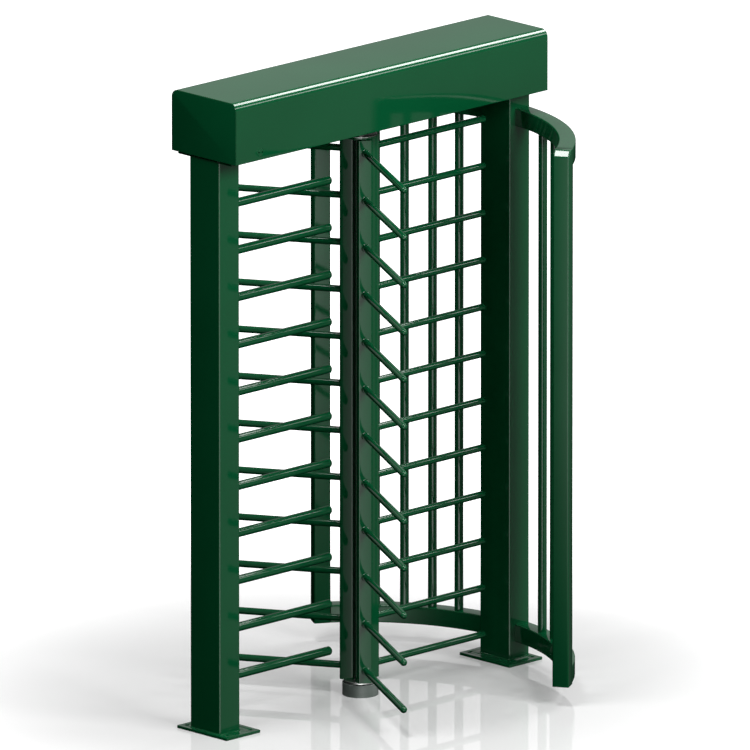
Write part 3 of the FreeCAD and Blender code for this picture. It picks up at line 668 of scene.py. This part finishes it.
# %% Header cover and ends
TRAY_INSET = 27 * MM
LIP_BEND = 3 * MM
LIP_GAP = 0.5 * MM
BEND_STEPS = 4
ROLL_STEPS = 16
WELD_EDGE = 2.4 * MM
LOCK_GAP = 0.3 * MM
WINDOW_START = -200 * MM
WINDOW_END = -150 * MM


def cover_path(inset):
    """The sheet's outline across the header from lip to lip, moved in by inset, as (y, z) points."""
    half, low, top = COVER_HI.y - inset, COVER_LO.z + inset, COVER_HI.z - inset
    roll, bend = HEADER_ROLL - inset, LIP_BEND - inset
    lip = COVER_HI.y - TRAY_INSET + LIP_GAP
    front = [(-lip, low)] + arc((-half + bend, low + bend), bend, 270, 180, BEND_STEPS)
    front += arc((-half + roll, top - roll), roll, 180, 90, ROLL_STEPS)
    return front + [(-y, z) for y, z in reversed(front)]


def make_cover():
    outline = cover_path(0.0) + cover_path(SHEET)[::-1]
    sheet = skin([[(x, y, z) for y, z in outline] for x in (COVER_LO.x, COVER_HI.x)])
    core_lo, core_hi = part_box("lock_core")
    centre = (core_lo + core_hi) / 2
    radius = (core_hi.x - core_lo.x) / 2 + LOCK_GAP
    start, end = (Vector((centre.x, y, centre.z)) for y in (WINDOW_START, WINDOW_END))
    window = pin(radius, start, end, 48)
    keep("cover_sheet", worked(sheet, [window]), "gloss_green", "frame", "header_cover")


def make_ends():
    above_bends = cover_path(0.0)[BEND_STEPS + 1:-BEND_STEPS - 1]
    rim = [(-COVER_HI.y, COVER_LO.z)] + above_bends + [(COVER_HI.y, COVER_LO.z)]
    for side in ("left", "right"):
        low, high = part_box("header_end_" + side)
        plate = skin([[(x, y, z) for y, z in rim] for x in (low.x, high.x)])
        keep("end_plate_" + side, worked(plate, edge=WELD_EDGE), "gloss_green", "frame", "header_end_" + side)


make_cover()
make_ends()
print("header", round(COVER_HI.x - COVER_LO.x, 3), "m long, roll", HEADER_ROLL)

# %% [markdown]
# ## Cage rails
# The cage is two arcs of rectangular tube joined by round bars, with a wide upright at each end. The rails
# are skinned loop by loop round the rotor's axis. Every point of the outline has its own first and last
# angle, because the rail's ends are cut flat, one against the post and one against the upright. The front
# rails are the back ones mirrored.

# %% Cage rails
CAGE_SETBACK = 9 * MM
CAGE_WIDTH = 60 * MM
CAGE_TURN = math.radians(59)
RAIL_ROLL = 4 * MM
RAIL_STEPS = 64
cage_out = RIGHT_HI.x - CAGE_SETBACK
cage_in = cage_out - CAGE_WIDTH


def rail_mesh(low, high):
    section = rounded_outline(cage_in, cage_out, low, high, RAIL_ROLL, 4)
    rings = []
    for k in range(RAIL_STEPS + 1):
        ring = []
        for radius, z in section:
            first = math.asin(RIGHT_HI.y / radius)
            last = CAGE_TURN - math.asin(CAGE_WIDTH / radius)
            angle = first + (last - first) * k / RAIL_STEPS
            ring.append((radius * math.cos(angle), radius * math.sin(angle), z))
        rings.append(ring)
    return skin(rings)


def mirrored(mesh):
    """The same mesh on the other side of the y = 0 plane, with its faces still pointing outwards."""
    mesh.transform(Matrix.Scale(-1, 4, (0, 1, 0)))
    mesh.flip_normals()
    return mesh


def make_rails():
    for level in ("top", "bottom"):
        low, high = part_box("cage_" + level + "_rail_back")
        for side in ("back", "front"):
            mesh = rail_mesh(low.z, high.z)
            keep("cage_" + level + "_arc_" + side, mesh if side == "back" else mirrored(mesh), "gloss_green",
                 "frame", "cage_" + level + "_rail_" + side)


make_rails()
print("cage radius", round(cage_in, 3), "to", round(cage_out, 3))

# %% [markdown]
# ## Cage uprights
# The outer corner at the top of each end upright slopes away, so that nobody catches a sleeve on it. A slope
# between two small rolls shows as one broad highlight, where a single roll would show only a thin line. The
# upright is skinned from the floor up, and each loop on the slope is cut back a little further.

# %% Cage uprights
UPRIGHT_SLOPE = 20 * MM
SLOPE_ROLL = 8 * MM
UPRIGHT_CORNER = 6 * MM
UPRIGHT_EDGE = 1.0 * MM


def upright_mesh():
    bottom, top = UPRIGHT_LO.z, UPRIGHT_HI.z
    lead = SLOPE_ROLL * math.tan(math.radians(22.5))
    profile = [(0.0, bottom)] + arc((SLOPE_ROLL, top - UPRIGHT_SLOPE - lead), SLOPE_ROLL, 180, 135, 4)
    profile += arc((UPRIGHT_SLOPE + lead, top - SLOPE_ROLL), SLOPE_ROLL, 135, 90, 4)
    rings = []
    for inset, z in profile:
        outline = rounded_outline(cage_in, cage_out, -CAGE_WIDTH, -inset, UPRIGHT_CORNER)
        rings.append([(x, y, z) for x, y in outline])
    return turned(worked(skin(rings), edge=UPRIGHT_EDGE), CAGE_TURN)


keep("cage_end_back", upright_mesh(), "gloss_green", "frame", "cage_upright_back")
keep("cage_end_front", mirrored(upright_mesh()), "gloss_green", "frame", "cage_upright_front")
print("upright", round(UPRIGHT_HI.z - UPRIGHT_LO.z, 3), "m tall")

# %% [markdown]
# ## The rotor's body
# Three upright tubes stand round the shaft, one for each wing, between a top plate with a thin washer and a
# bottom plate. The tubes are skinned like the posts and turned into place. The plates and the washer are
# lathe work: a short outline carried round the axis, with a rounded rim where a real one is broken with a
# file.

# %% Rotor tubes and discs
SHAFT_RADIUS = 19 * MM
DISCS = {"top_plate": ("gloss_green", 1.0 * MM), "top_washer": ("zinc_plated", 0.5 * MM),
         "bottom_plate": ("zinc_plated", 1.5 * MM)}


def lathe(outline, steps=96):
    """Carries a closed outline of (radius, z) points round the rotor's axis."""
    turns = [2 * math.pi * k / steps for k in range(steps)]
    return skin([[(r * math.cos(a), r * math.sin(a), z) for r, z in outline] for a in turns], around=True)


def disc_outline(bore, radius, low, high, rim):
    outer = arc((radius - rim, high - rim), rim, 90, 0, 4) + arc((radius - rim, low + rim), rim, 0, -90, 4)
    return [(bore, high)] + outer + [(bore, low)]


def make_rotor_body():
    for wing, turn in WING_TURNS.items():
        mesh = tube_mesh(TUBE_LO.x, TUBE_HI.x, TUBE_LO.y, TUBE_HI.y, TUBE_LO.z, TUBE_HI.z,
                         TUBE_ROLL, TUBE_WALL)
        keep("wing_tube_" + wing, turned(mesh, turn), "gloss_green", "rotor", "rotor_tube_" + wing)
    for disc, (slot, rim) in DISCS.items():
        low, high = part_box("rotor_" + disc)
        mesh = lathe(disc_outline(SHAFT_RADIUS, high.x, low.z, high.z, rim))
        keep("disc_" + disc, mesh, slot, "rotor", "rotor_" + disc)


make_rotor_body()
print("rotor tube", round(TUBE_HI.z - TUBE_LO.z, 3), "m")

# %% [markdown]
# ## Round bars by rule
# Every wing is twelve equal arms, the comb is eleven equal bars, and the cage has five bars on each side.
# That is work for Geometry Nodes: one tree makes a bar with a domed tip and repeats it. The bar is a line of
# points swept with a circle. Near the tip the points go by a sine and the circle's scale by a cosine, and a
# dome as high as the bar's radius is then a half ball.

# %% Node tree for bars
DOME_STEPS = 8
BAR_SIDES = 40
MERGE_DISTANCE = 0.02 * MM


def new_tree(name, **inputs):
    """An empty Geometry Nodes tree with one geometry output, the named inputs and a material."""
    tree = bpy.data.node_groups.new(name, "GeometryNodeTree")
    tree.interface.new_socket("Geometry", in_out="OUTPUT", socket_type="NodeSocketGeometry")
    for label, kind in {**inputs, "Material": "Material"}.items():
        tree.interface.new_socket(label, in_out="INPUT", socket_type="NodeSocket" + kind)
    net = Net(tree)
    return tree, net, net.node("NodeGroupInput")


def in_a_row(net, given, model, **more):
    """Sets the model on Count spots, the first at Start and each one Step further."""
    spots = net.node("GeometryNodeMeshLine", {"mode": "OFFSET"}, {
        "Count": given["Count"], "Start Location": given["Start"], "Offset": given["Step"]})[0]
    return net.node("GeometryNodeInstanceOnPoints", values={"Points": spots, "Instance": model, **more})[0]


def close_tree(net, instances, given):
    """Ends a tree: real mesh instead of instances, shared points merged, with its material."""
    real = net.node("GeometryNodeRealizeInstances", values={"Geometry": instances})[0]
    merged = net.node("GeometryNodeMergeByDistance", values={"Geometry": real, "Distance": MERGE_DISTANCE})[0]
    done = net.node("GeometryNodeSetMaterial", values={"Geometry": merged, "Material": given["Material"]})[0]
    net.node("NodeGroupOutput", values={"Geometry": done})


def swept(net, radius, length, dome):
    """A bar along +X with a domed tip: dome is the height of the dome."""
    line = net.node("GeometryNodeCurvePrimitiveLine", values={
        "End": net.node("ShaderNodeCombineXYZ", values={"X": length})[0]})[0]
    fine = net.node("GeometryNodeResampleCurve", values={"Curve": line, "Count": DOME_STEPS + 2})[0]
    index = net.node("GeometryNodeInputIndex")[0]
    swing = (index - 1).math("MAXIMUM", 0.0) * (math.pi / 2 / DOME_STEPS)
    reach = (length - dome + swing.math("SINE") * dome) * index.math("MINIMUM", 1.0)
    place = net.node("ShaderNodeCombineXYZ", values={"X": reach})[0]
    moved = net.node("GeometryNodeSetPosition", values={"Geometry": fine, "Position": place})[0]
    circle = net.node("GeometryNodeCurvePrimitiveCircle", values={
        "Resolution": BAR_SIDES, "Radius": radius})[0]
    return net.node("GeometryNodeCurveToMesh", values={
        "Curve": moved, "Profile Curve": circle, "Scale": swing.math("COSINE"), "Fill Caps": True})[0]


def grown(tree, material, **sizes):
    """Runs a tree with its inputs set by identifier, and gives back a plain mesh."""
    values = {"Material": material, **sizes}
    holder = bpy.data.objects.new("holder", bpy.data.meshes.new("holder"))
    scene.collection.objects.link(holder)
    modifier = holder.modifiers.new("tree", "NODES")
    modifier.node_group = tree
    for item in tree.interface.items_tree:
        if item.in_out == "INPUT":
            modifier[item.identifier] = values[item.name]
    return solid_of(holder)


def build_bar_tree():
    tree, net, given = new_tree("domed_bars", Radius="Float", Length="Float", Dome="Float",
                                Count="Int", Start="Vector", Step="Vector")
    bar = swept(net, given["Radius"], given["Length"], given["Dome"])
    close_tree(net, in_a_row(net, given, bar), given)
    return tree


bar_tree = build_bar_tree()
print("bar tree", len(bar_tree.nodes), "nodes")

# %% [markdown]
# ## Arms and comb
# An arm ends in a dome as high as its radius. The comb's bars are thicker, have a flatter dome and grow out
# of the left post halfway between the arms' levels, so that the wings pass between them.

# %% Arms and comb
COMB_DOME = 0.6
green = finishes["gloss_green_enamel"]
pitch = arm_levels[1] - arm_levels[0]
every_level = (0.0, 0.0, pitch)
first_comb_level = arm_levels[0] + pitch / 2


def make_arms():
    for wing, turn in WING_TURNS.items():
        mesh = grown(bar_tree, green, Radius=arm_radius, Length=ARMS_HI.x - ARMS_LO.x, Dome=arm_radius,
                     Count=ARM_COUNT, Start=(ARMS_LO.x, 0.0, arm_levels[0]), Step=every_level)
        keep("wing_arms_" + wing, turned(mesh, turn), "gloss_green", "rotor", "rotor_arms_" + wing)
    return len(mesh.polygons)


def make_comb():
    mesh = grown(bar_tree, green, Radius=comb_radius, Length=COMB_HI.x - COMB_LO.x,
                 Dome=comb_radius * COMB_DOME, Count=ARM_COUNT - 1,
                 Start=(COMB_LO.x, 0.0, first_comb_level), Step=every_level)
    keep("comb_rods", mesh, "gloss_green", "frame", "comb_bars")
    return len(mesh.polygons)


print("faces: wing", make_arms(), "comb", make_comb())

# %% [markdown]
# ## Cage bars
# The cage's bars stand on an arc, evenly spaced by angle. Their places are worked out inside the tree from
# the point's index: a cosine and a sine of the first angle plus index times the step.

# %% Cage bars
CAGE_BARS = 5
CAGE_BAR_RADIUS = 16 * MM
FIRST_BAR = math.radians(16.75)
BAR_STEP = math.radians(8.15)


def build_arc_tree():
    tree, net, given = new_tree("bars_on_an_arc", Radius="Float", Height="Float", Arc="Float",
                                First="Float", Step="Float", Count="Int", Base="Float")
    rod = net.node("GeometryNodeMeshCylinder", {"fill_type": "NGON"}, {
        "Vertices": BAR_SIDES, "Radius": given["Radius"], "Depth": given["Height"]})["Mesh"]
    spots = net.node("GeometryNodePoints", values={"Count": given["Count"]})[0]
    angle = given["First"] + net.node("GeometryNodeInputIndex")[0] * given["Step"]
    place = net.node("ShaderNodeCombineXYZ", values={
        "X": angle.math("COSINE") * given["Arc"], "Y": angle.math("SINE") * given["Arc"],
        "Z": given["Base"] + given["Height"] / 2})[0]
    placed = net.node("GeometryNodeSetPosition", values={"Geometry": spots, "Position": place})[0]
    rods = net.node("GeometryNodeInstanceOnPoints", values={"Points": placed, "Instance": rod})[0]
    close_tree(net, rods, given)
    return tree


def make_cage_bars():
    tree = build_arc_tree()
    low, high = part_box("cage_bars_back")
    for side, sign in (("back", 1), ("front", -1)):
        mesh = grown(tree, green, Radius=CAGE_BAR_RADIUS, Height=high.z - low.z, Base=low.z,
                     Arc=(cage_in + cage_out) / 2, First=sign * FIRST_BAR, Step=sign * BAR_STEP,
                     Count=CAGE_BARS)
        keep("cage_rods_" + side, mesh, "gloss_green", "frame", "cage_bars_" + side)
    return len(mesh.polygons)


print("cage bars", make_cage_bars(), "faces each side")

# %% [markdown]
# ## Weld beads
# The arms, the comb's bars and the posts' feet are welded on, and the enamel goes over the bead. A bead is a
# row of overlapping drops, so the sweep's scale rises and falls along the path. One tree makes rings in a
# row for the arms and the comb, and another lays the bead round the foot of a post.

# %% Weld beads
BEAD = 2.2 * MM
BEAD_SIDES = 8
RIPPLE = 0.16
DROPS = 22
FOOT_BEAD = 1.3 * BEAD
FOOT_DROPS = 96
FOOT_POINTS = 5 * FOOT_DROPS


def rippled(net, path, bead, drops):
    along = net.node("GeometryNodeSplineParameter")["Factor"]
    ripple = (along * (2 * math.pi * drops)).math("SINE") * RIPPLE + 1.0
    profile = net.node("GeometryNodeCurvePrimitiveCircle", values={
        "Resolution": BEAD_SIDES, "Radius": bead})[0]
    return net.node("GeometryNodeCurveToMesh", values={
        "Curve": path, "Profile Curve": profile, "Scale": ripple})[0]


def build_ring_weld_tree():
    tree, net, given = new_tree("ring_welds", Radius="Float", Count="Int", Start="Vector", Step="Vector",
                                Facing="Rotation")
    ring = net.node("GeometryNodeCurvePrimitiveCircle", values={
        "Resolution": DROPS * 4, "Radius": given["Radius"]})[0]
    bead = rippled(net, ring, BEAD, DROPS)
    close_tree(net, in_a_row(net, given, bead, Rotation=given["Facing"]), given)
    return tree


def build_foot_weld_tree():
    tree, net, given = new_tree("foot_weld", Width="Float", Depth="Float", Corner="Float", Place="Vector")
    outline = net.node("GeometryNodeCurvePrimitiveQuadrilateral", values={
        "Width": given["Width"], "Height": given["Depth"]})[0]
    rounded = net.node("GeometryNodeFilletCurve", {"mode": "POLY"}, {
        "Curve": outline, "Radius": given["Corner"], "Count": 5})[0]
    even = net.node("GeometryNodeResampleCurve", values={"Curve": rounded, "Count": FOOT_POINTS})[0]
    bead = rippled(net, even, FOOT_BEAD, FOOT_DROPS)
    moved = net.node("GeometryNodeTransform", values={"Geometry": bead, "Translation": given["Place"]})[0]
    close_tree(net, moved, given)
    return tree


def make_welds():
    rings = build_ring_weld_tree()
    sideways = (0.0, math.pi / 2, 0.0)
    for wing, turn in WING_TURNS.items():
        mesh = grown(rings, green, Radius=arm_radius, Count=ARM_COUNT, Facing=sideways,
                     Start=(TUBE_HI.x, 0.0, arm_levels[0]), Step=every_level)
        keep("arm_welds_" + wing, turned(mesh, turn), "gloss_green", "rotor")
    mesh = grown(rings, green, Radius=comb_radius, Count=ARM_COUNT - 1, Facing=sideways,
                 Start=(COMB_LO.x, 0.0, first_comb_level), Step=every_level)
    keep("comb_welds", mesh, "gloss_green", "frame")
    foot = build_foot_weld_tree()
    for side in ("left", "right"):
        low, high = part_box(side + "_post")
        mesh = grown(foot, green, Width=high.x - low.x, Depth=high.y - low.y, Corner=POST_ROLL,
                     Place=((low.x + high.x) / 2, 0.0, low.z))
        keep(side + "_foot_weld", mesh, "gloss_green", "frame")
    return len(mesh.polygons)


print("foot weld", make_welds(), "faces")

# %% [markdown]
# ## The drum under the rotor
# The foot of the rotor turns in a cast drum that is screwed to the floor. Its rim is turned clean, so it is
# lathe work again: an outline with a wide bore that holds the bearing, a narrow ledge under it, and a
# rounded rim. It starts half a millimetre off the axis, where every loop would meet in one point. Three
# counterbored holes take the floor screws.

# %% Floor drum
DRUM_FLOOR = 12 * MM
DRUM_SCREW_CIRCLE = 48 * MM
DRUM_SCREW_HOLE = 5 * MM
DRUM_SCREW_HEAD = 9 * MM
DRUM_RIM = 1.8 * MM
DRUM_DRILL_END = 100 * MM
DRUM_CORE = 0.5 * MM
BEARING_LEDGE = 4 * MM


def make_drum():
    bearing_lo, bearing_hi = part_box("lower_bearing")
    bore, seat = bearing_hi.x, bearing_lo.z
    ledge = bore - BEARING_LEDGE
    outline = [(ledge, DRUM_FLOOR), (ledge, seat), (bore, seat), (bore, DRUM_HI.z)]
    outline += arc((DRUM_HI.x - DRUM_RIM, DRUM_HI.z - DRUM_RIM), DRUM_RIM, 90, 0, 5) + [(DRUM_HI.x, 0.0)]
    outline += [(DRUM_CORE, 0.0), (DRUM_CORE, DRUM_FLOOR)]
    holes = []
    for turn in (60, 180, 300):
        place = Matrix.Rotation(math.radians(turn), 4, "Z") @ Vector((DRUM_SCREW_CIRCLE, 0, 0))
        for radius, base in ((DRUM_SCREW_HOLE, DRILL_START), (DRUM_SCREW_HEAD, DRUM_FLOOR)):
            holes.append(pin(radius, place + Vector((0, 0, base)), place + Vector((0, 0, DRUM_DRILL_END))))
    keep("drum_casting", worked(lathe(outline), holes), "cast_drum", "frame", "floor_drum")


make_drum()
print("drum", round(DRUM_HI.z, 3), "m high")

# %% [markdown]
# ## Screws under the header
# Eight button head screws hold the cover down on the tray. One screw is made first, a domed head with a
# hexagonal socket, and a tree then sets eight of them: the point's index is split by remainders into left or
# right, front or back, inner or outer.

# %% Cover screws
SCREW_SPOTS = {"Inner": 192.5 * MM, "Outer": 600 * MM, "Across": 147.5 * MM}
SCREW_SHANK = 3 * MM
SCREW_SHANK_LENGTH = 14 * MM
SCREW_SOCKET = 2.0 * MM
SOCKET_BOTTOM = 0.35
TOOL_OVERHANG = 1 * MM
AXIS_GAP = 0.02 * MM


def button_screw(head_radius, head_height):
    """A screw that hangs head down from z = 0; its outline stops just short of the axis."""
    dome = [(head_radius * math.cos(a), -head_height * math.sin(a))
            for a in (math.pi / 2 * i / 8 for i in range(8))]
    outline = [(AXIS_GAP, SCREW_SHANK_LENGTH), (SCREW_SHANK, SCREW_SHANK_LENGTH), (SCREW_SHANK, 0.0)]
    outline += dome + [(AXIS_GAP, -head_height)]
    start, end = (Vector((0, 0, z)) for z in (-head_height - TOOL_OVERHANG, -head_height * SOCKET_BOTTOM))
    socket = pin(SCREW_SOCKET, start, end, 6)
    return worked(lathe(outline, 32), [socket])


def build_screw_tree():
    tree, net, given = new_tree("screws_in_fours", Inner="Float", Outer="Float", Across="Float",
                                Level="Float", Screw="Object")
    spots = net.node("GeometryNodePoints", values={"Count": 8})[0]
    index = net.node("GeometryNodeInputIndex")[0]
    right = 1 - index.math("MODULO", 2.0) * 2
    back = 1 - (index / 2).math("FLOOR").math("MODULO", 2.0) * 2
    outer = (index / 4).math("FLOOR")
    along = given["Inner"] + (given["Outer"] - given["Inner"]) * outer
    place = net.node("ShaderNodeCombineXYZ", values={
        "X": right * along, "Y": back * given["Across"], "Z": given["Level"]})[0]
    placed = net.node("GeometryNodeSetPosition", values={"Geometry": spots, "Position": place})[0]
    model = net.node("GeometryNodeObjectInfo", values={"Object": given["Screw"]})["Geometry"]
    screws = net.node("GeometryNodeInstanceOnPoints", values={"Points": placed, "Instance": model})[0]
    close_tree(net, screws, given)
    return tree


def make_cover_screws():
    low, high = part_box("cover_screws")
    level = high.z - SCREW_SHANK_LENGTH
    model = bpy.data.objects.new("screw_model", button_screw(high.x - SCREW_SPOTS["Outer"], level - low.z))
    scene.collection.objects.link(model)
    mesh = grown(build_screw_tree(), finishes["zinc_plate"], Level=level, Screw=model, **SCREW_SPOTS)
    bpy.data.objects.remove(model)
    keep("cover_button_screws", mesh, "zinc_plated", "frame", "cover_screws")
    return len(mesh.polygons)


print("cover screws", make_cover_screws(), "faces")

# %% [markdown]
# ## The cover's lock
# A small two-pin lock near the left end keeps visitors out of the header. Its round face is painted with the
# cover and sits flush in it, so all that shows is a fine ring and two dark pin holes. The face is lathe work
# about the Y axis, with a rounded rim, and the two holes are cut into it.

# %% Lock face
LOCK_PIN_HOLE = 3.5 * MM
LOCK_PIN_SPACING = 8.5 * MM
LOCK_STEM = 5 * MM
LOCK_FACE_DEPTH = 4.1 * MM
LOCK_PIN_DEPTH = 3 * MM
LOCK_RIM = 0.6 * MM


def make_lock_face():
    low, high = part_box("lock_core")
    centre = (low + high) / 2
    radius = (high.x - low.x) / 2
    depth = high.y - low.y
    rim = arc((radius - LOCK_RIM, LOCK_RIM), LOCK_RIM, -90, 0, 4)
    outline = [(AXIS_GAP, 0.0)] + rim + [(radius, LOCK_FACE_DEPTH), (LOCK_STEM, LOCK_FACE_DEPTH),
                                         (LOCK_STEM, depth), (AXIS_GAP, depth)]
    mesh = lathe(outline, 64)
    mesh.transform(Matrix.Translation((centre.x, low.y, centre.z)) @ Matrix.Rotation(-math.pi / 2, 4, "X"))
    holes = [pin(LOCK_PIN_HOLE, Vector((x, low.y - TOOL_OVERHANG, centre.z)),
                 Vector((x, low.y + LOCK_PIN_DEPTH, centre.z)))
             for x in (centre.x - LOCK_PIN_SPACING, centre.x + LOCK_PIN_SPACING)]
    keep("lock_face", worked(mesh, holes), "gloss_green", "cover_lock", "lock_core")


make_lock_face()
print("lock pins", 2 * LOCK_PIN_SPACING, "m apart")

# %% [markdown]
# ## Coil springs
# Each pivot pin in the header carries a small coil spring that pulls its lever home. A spring follows a
# rule if anything does: a helix swept with a round wire. The tree takes the coil's size and the number of
# turns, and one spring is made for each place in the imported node.

# %% Return springs
WIRE = 1.1 * MM
WIRE_SIDES = 8
SPRING_TURNS = 5.0
STEPS_PER_TURN = 24


def build_spring_tree():
    tree, net, given = new_tree("coil_spring", Radius="Float", Height="Float", Turns="Float", Wire="Float",
                                Place="Vector")
    helix = net.node("GeometryNodeCurveSpiral", values={
        "Resolution": STEPS_PER_TURN, "Rotations": given["Turns"], "Start Radius": given["Radius"],
        "End Radius": given["Radius"], "Height": given["Height"] - given["Wire"] * 2})[0]
    wire = net.node("GeometryNodeCurvePrimitiveCircle", values={
        "Resolution": WIRE_SIDES, "Radius": given["Wire"]})[0]
    coil = net.node("GeometryNodeCurveToMesh", values={
        "Curve": helix, "Profile Curve": wire, "Fill Caps": True})[0]
    moved = net.node("GeometryNodeTransform", values={"Geometry": coil, "Translation": given["Place"]})[0]
    close_tree(net, moved, given)
    return tree


def loose_parts(mesh):
    """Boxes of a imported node's separate solids."""
    shape = bmesh.new()
    shape.from_mesh(mesh)
    bmesh.ops.remove_doubles(shape, verts=shape.verts, dist=MERGE_DISTANCE / 2)
    waiting = set(shape.verts)
    boxes = []
    while waiting:
        stack = [waiting.pop()]
        island = []
        while stack:
            corner = stack.pop()
            island.append(corner.co.copy())
            for edge in corner.link_edges:
                other = edge.other_vert(corner)
                if other in waiting:
                    waiting.remove(other)
                    stack.append(other)
        boxes.append([Vector([pick(p[i] for p in island) for i in range(3)]) for pick in (min, max)])
    shape.free()
    return sorted(boxes, key=lambda box: tuple(box[0]))


def make_springs():
    tree = build_spring_tree()
    whole = bmesh.new()
    places = loose_parts(frame["nodes"]["return_springs"].data)
    for low, high in places:
        centre = (low + high) / 2
        whole.from_mesh(grown(tree, finishes["turned_steel"], Radius=(high.x - low.x) / 2 - WIRE,
                              Height=high.z - low.z, Turns=SPRING_TURNS, Wire=WIRE,
                              Place=(centre.x, centre.y, low.z + WIRE)))
    mesh = bpy.data.meshes.new("coils")
    whole.to_mesh(mesh)
    whole.free()
    keep("return_coils", mesh, "machined_steel", "frame", "return_springs")
    return len(places)


print("springs", make_springs())
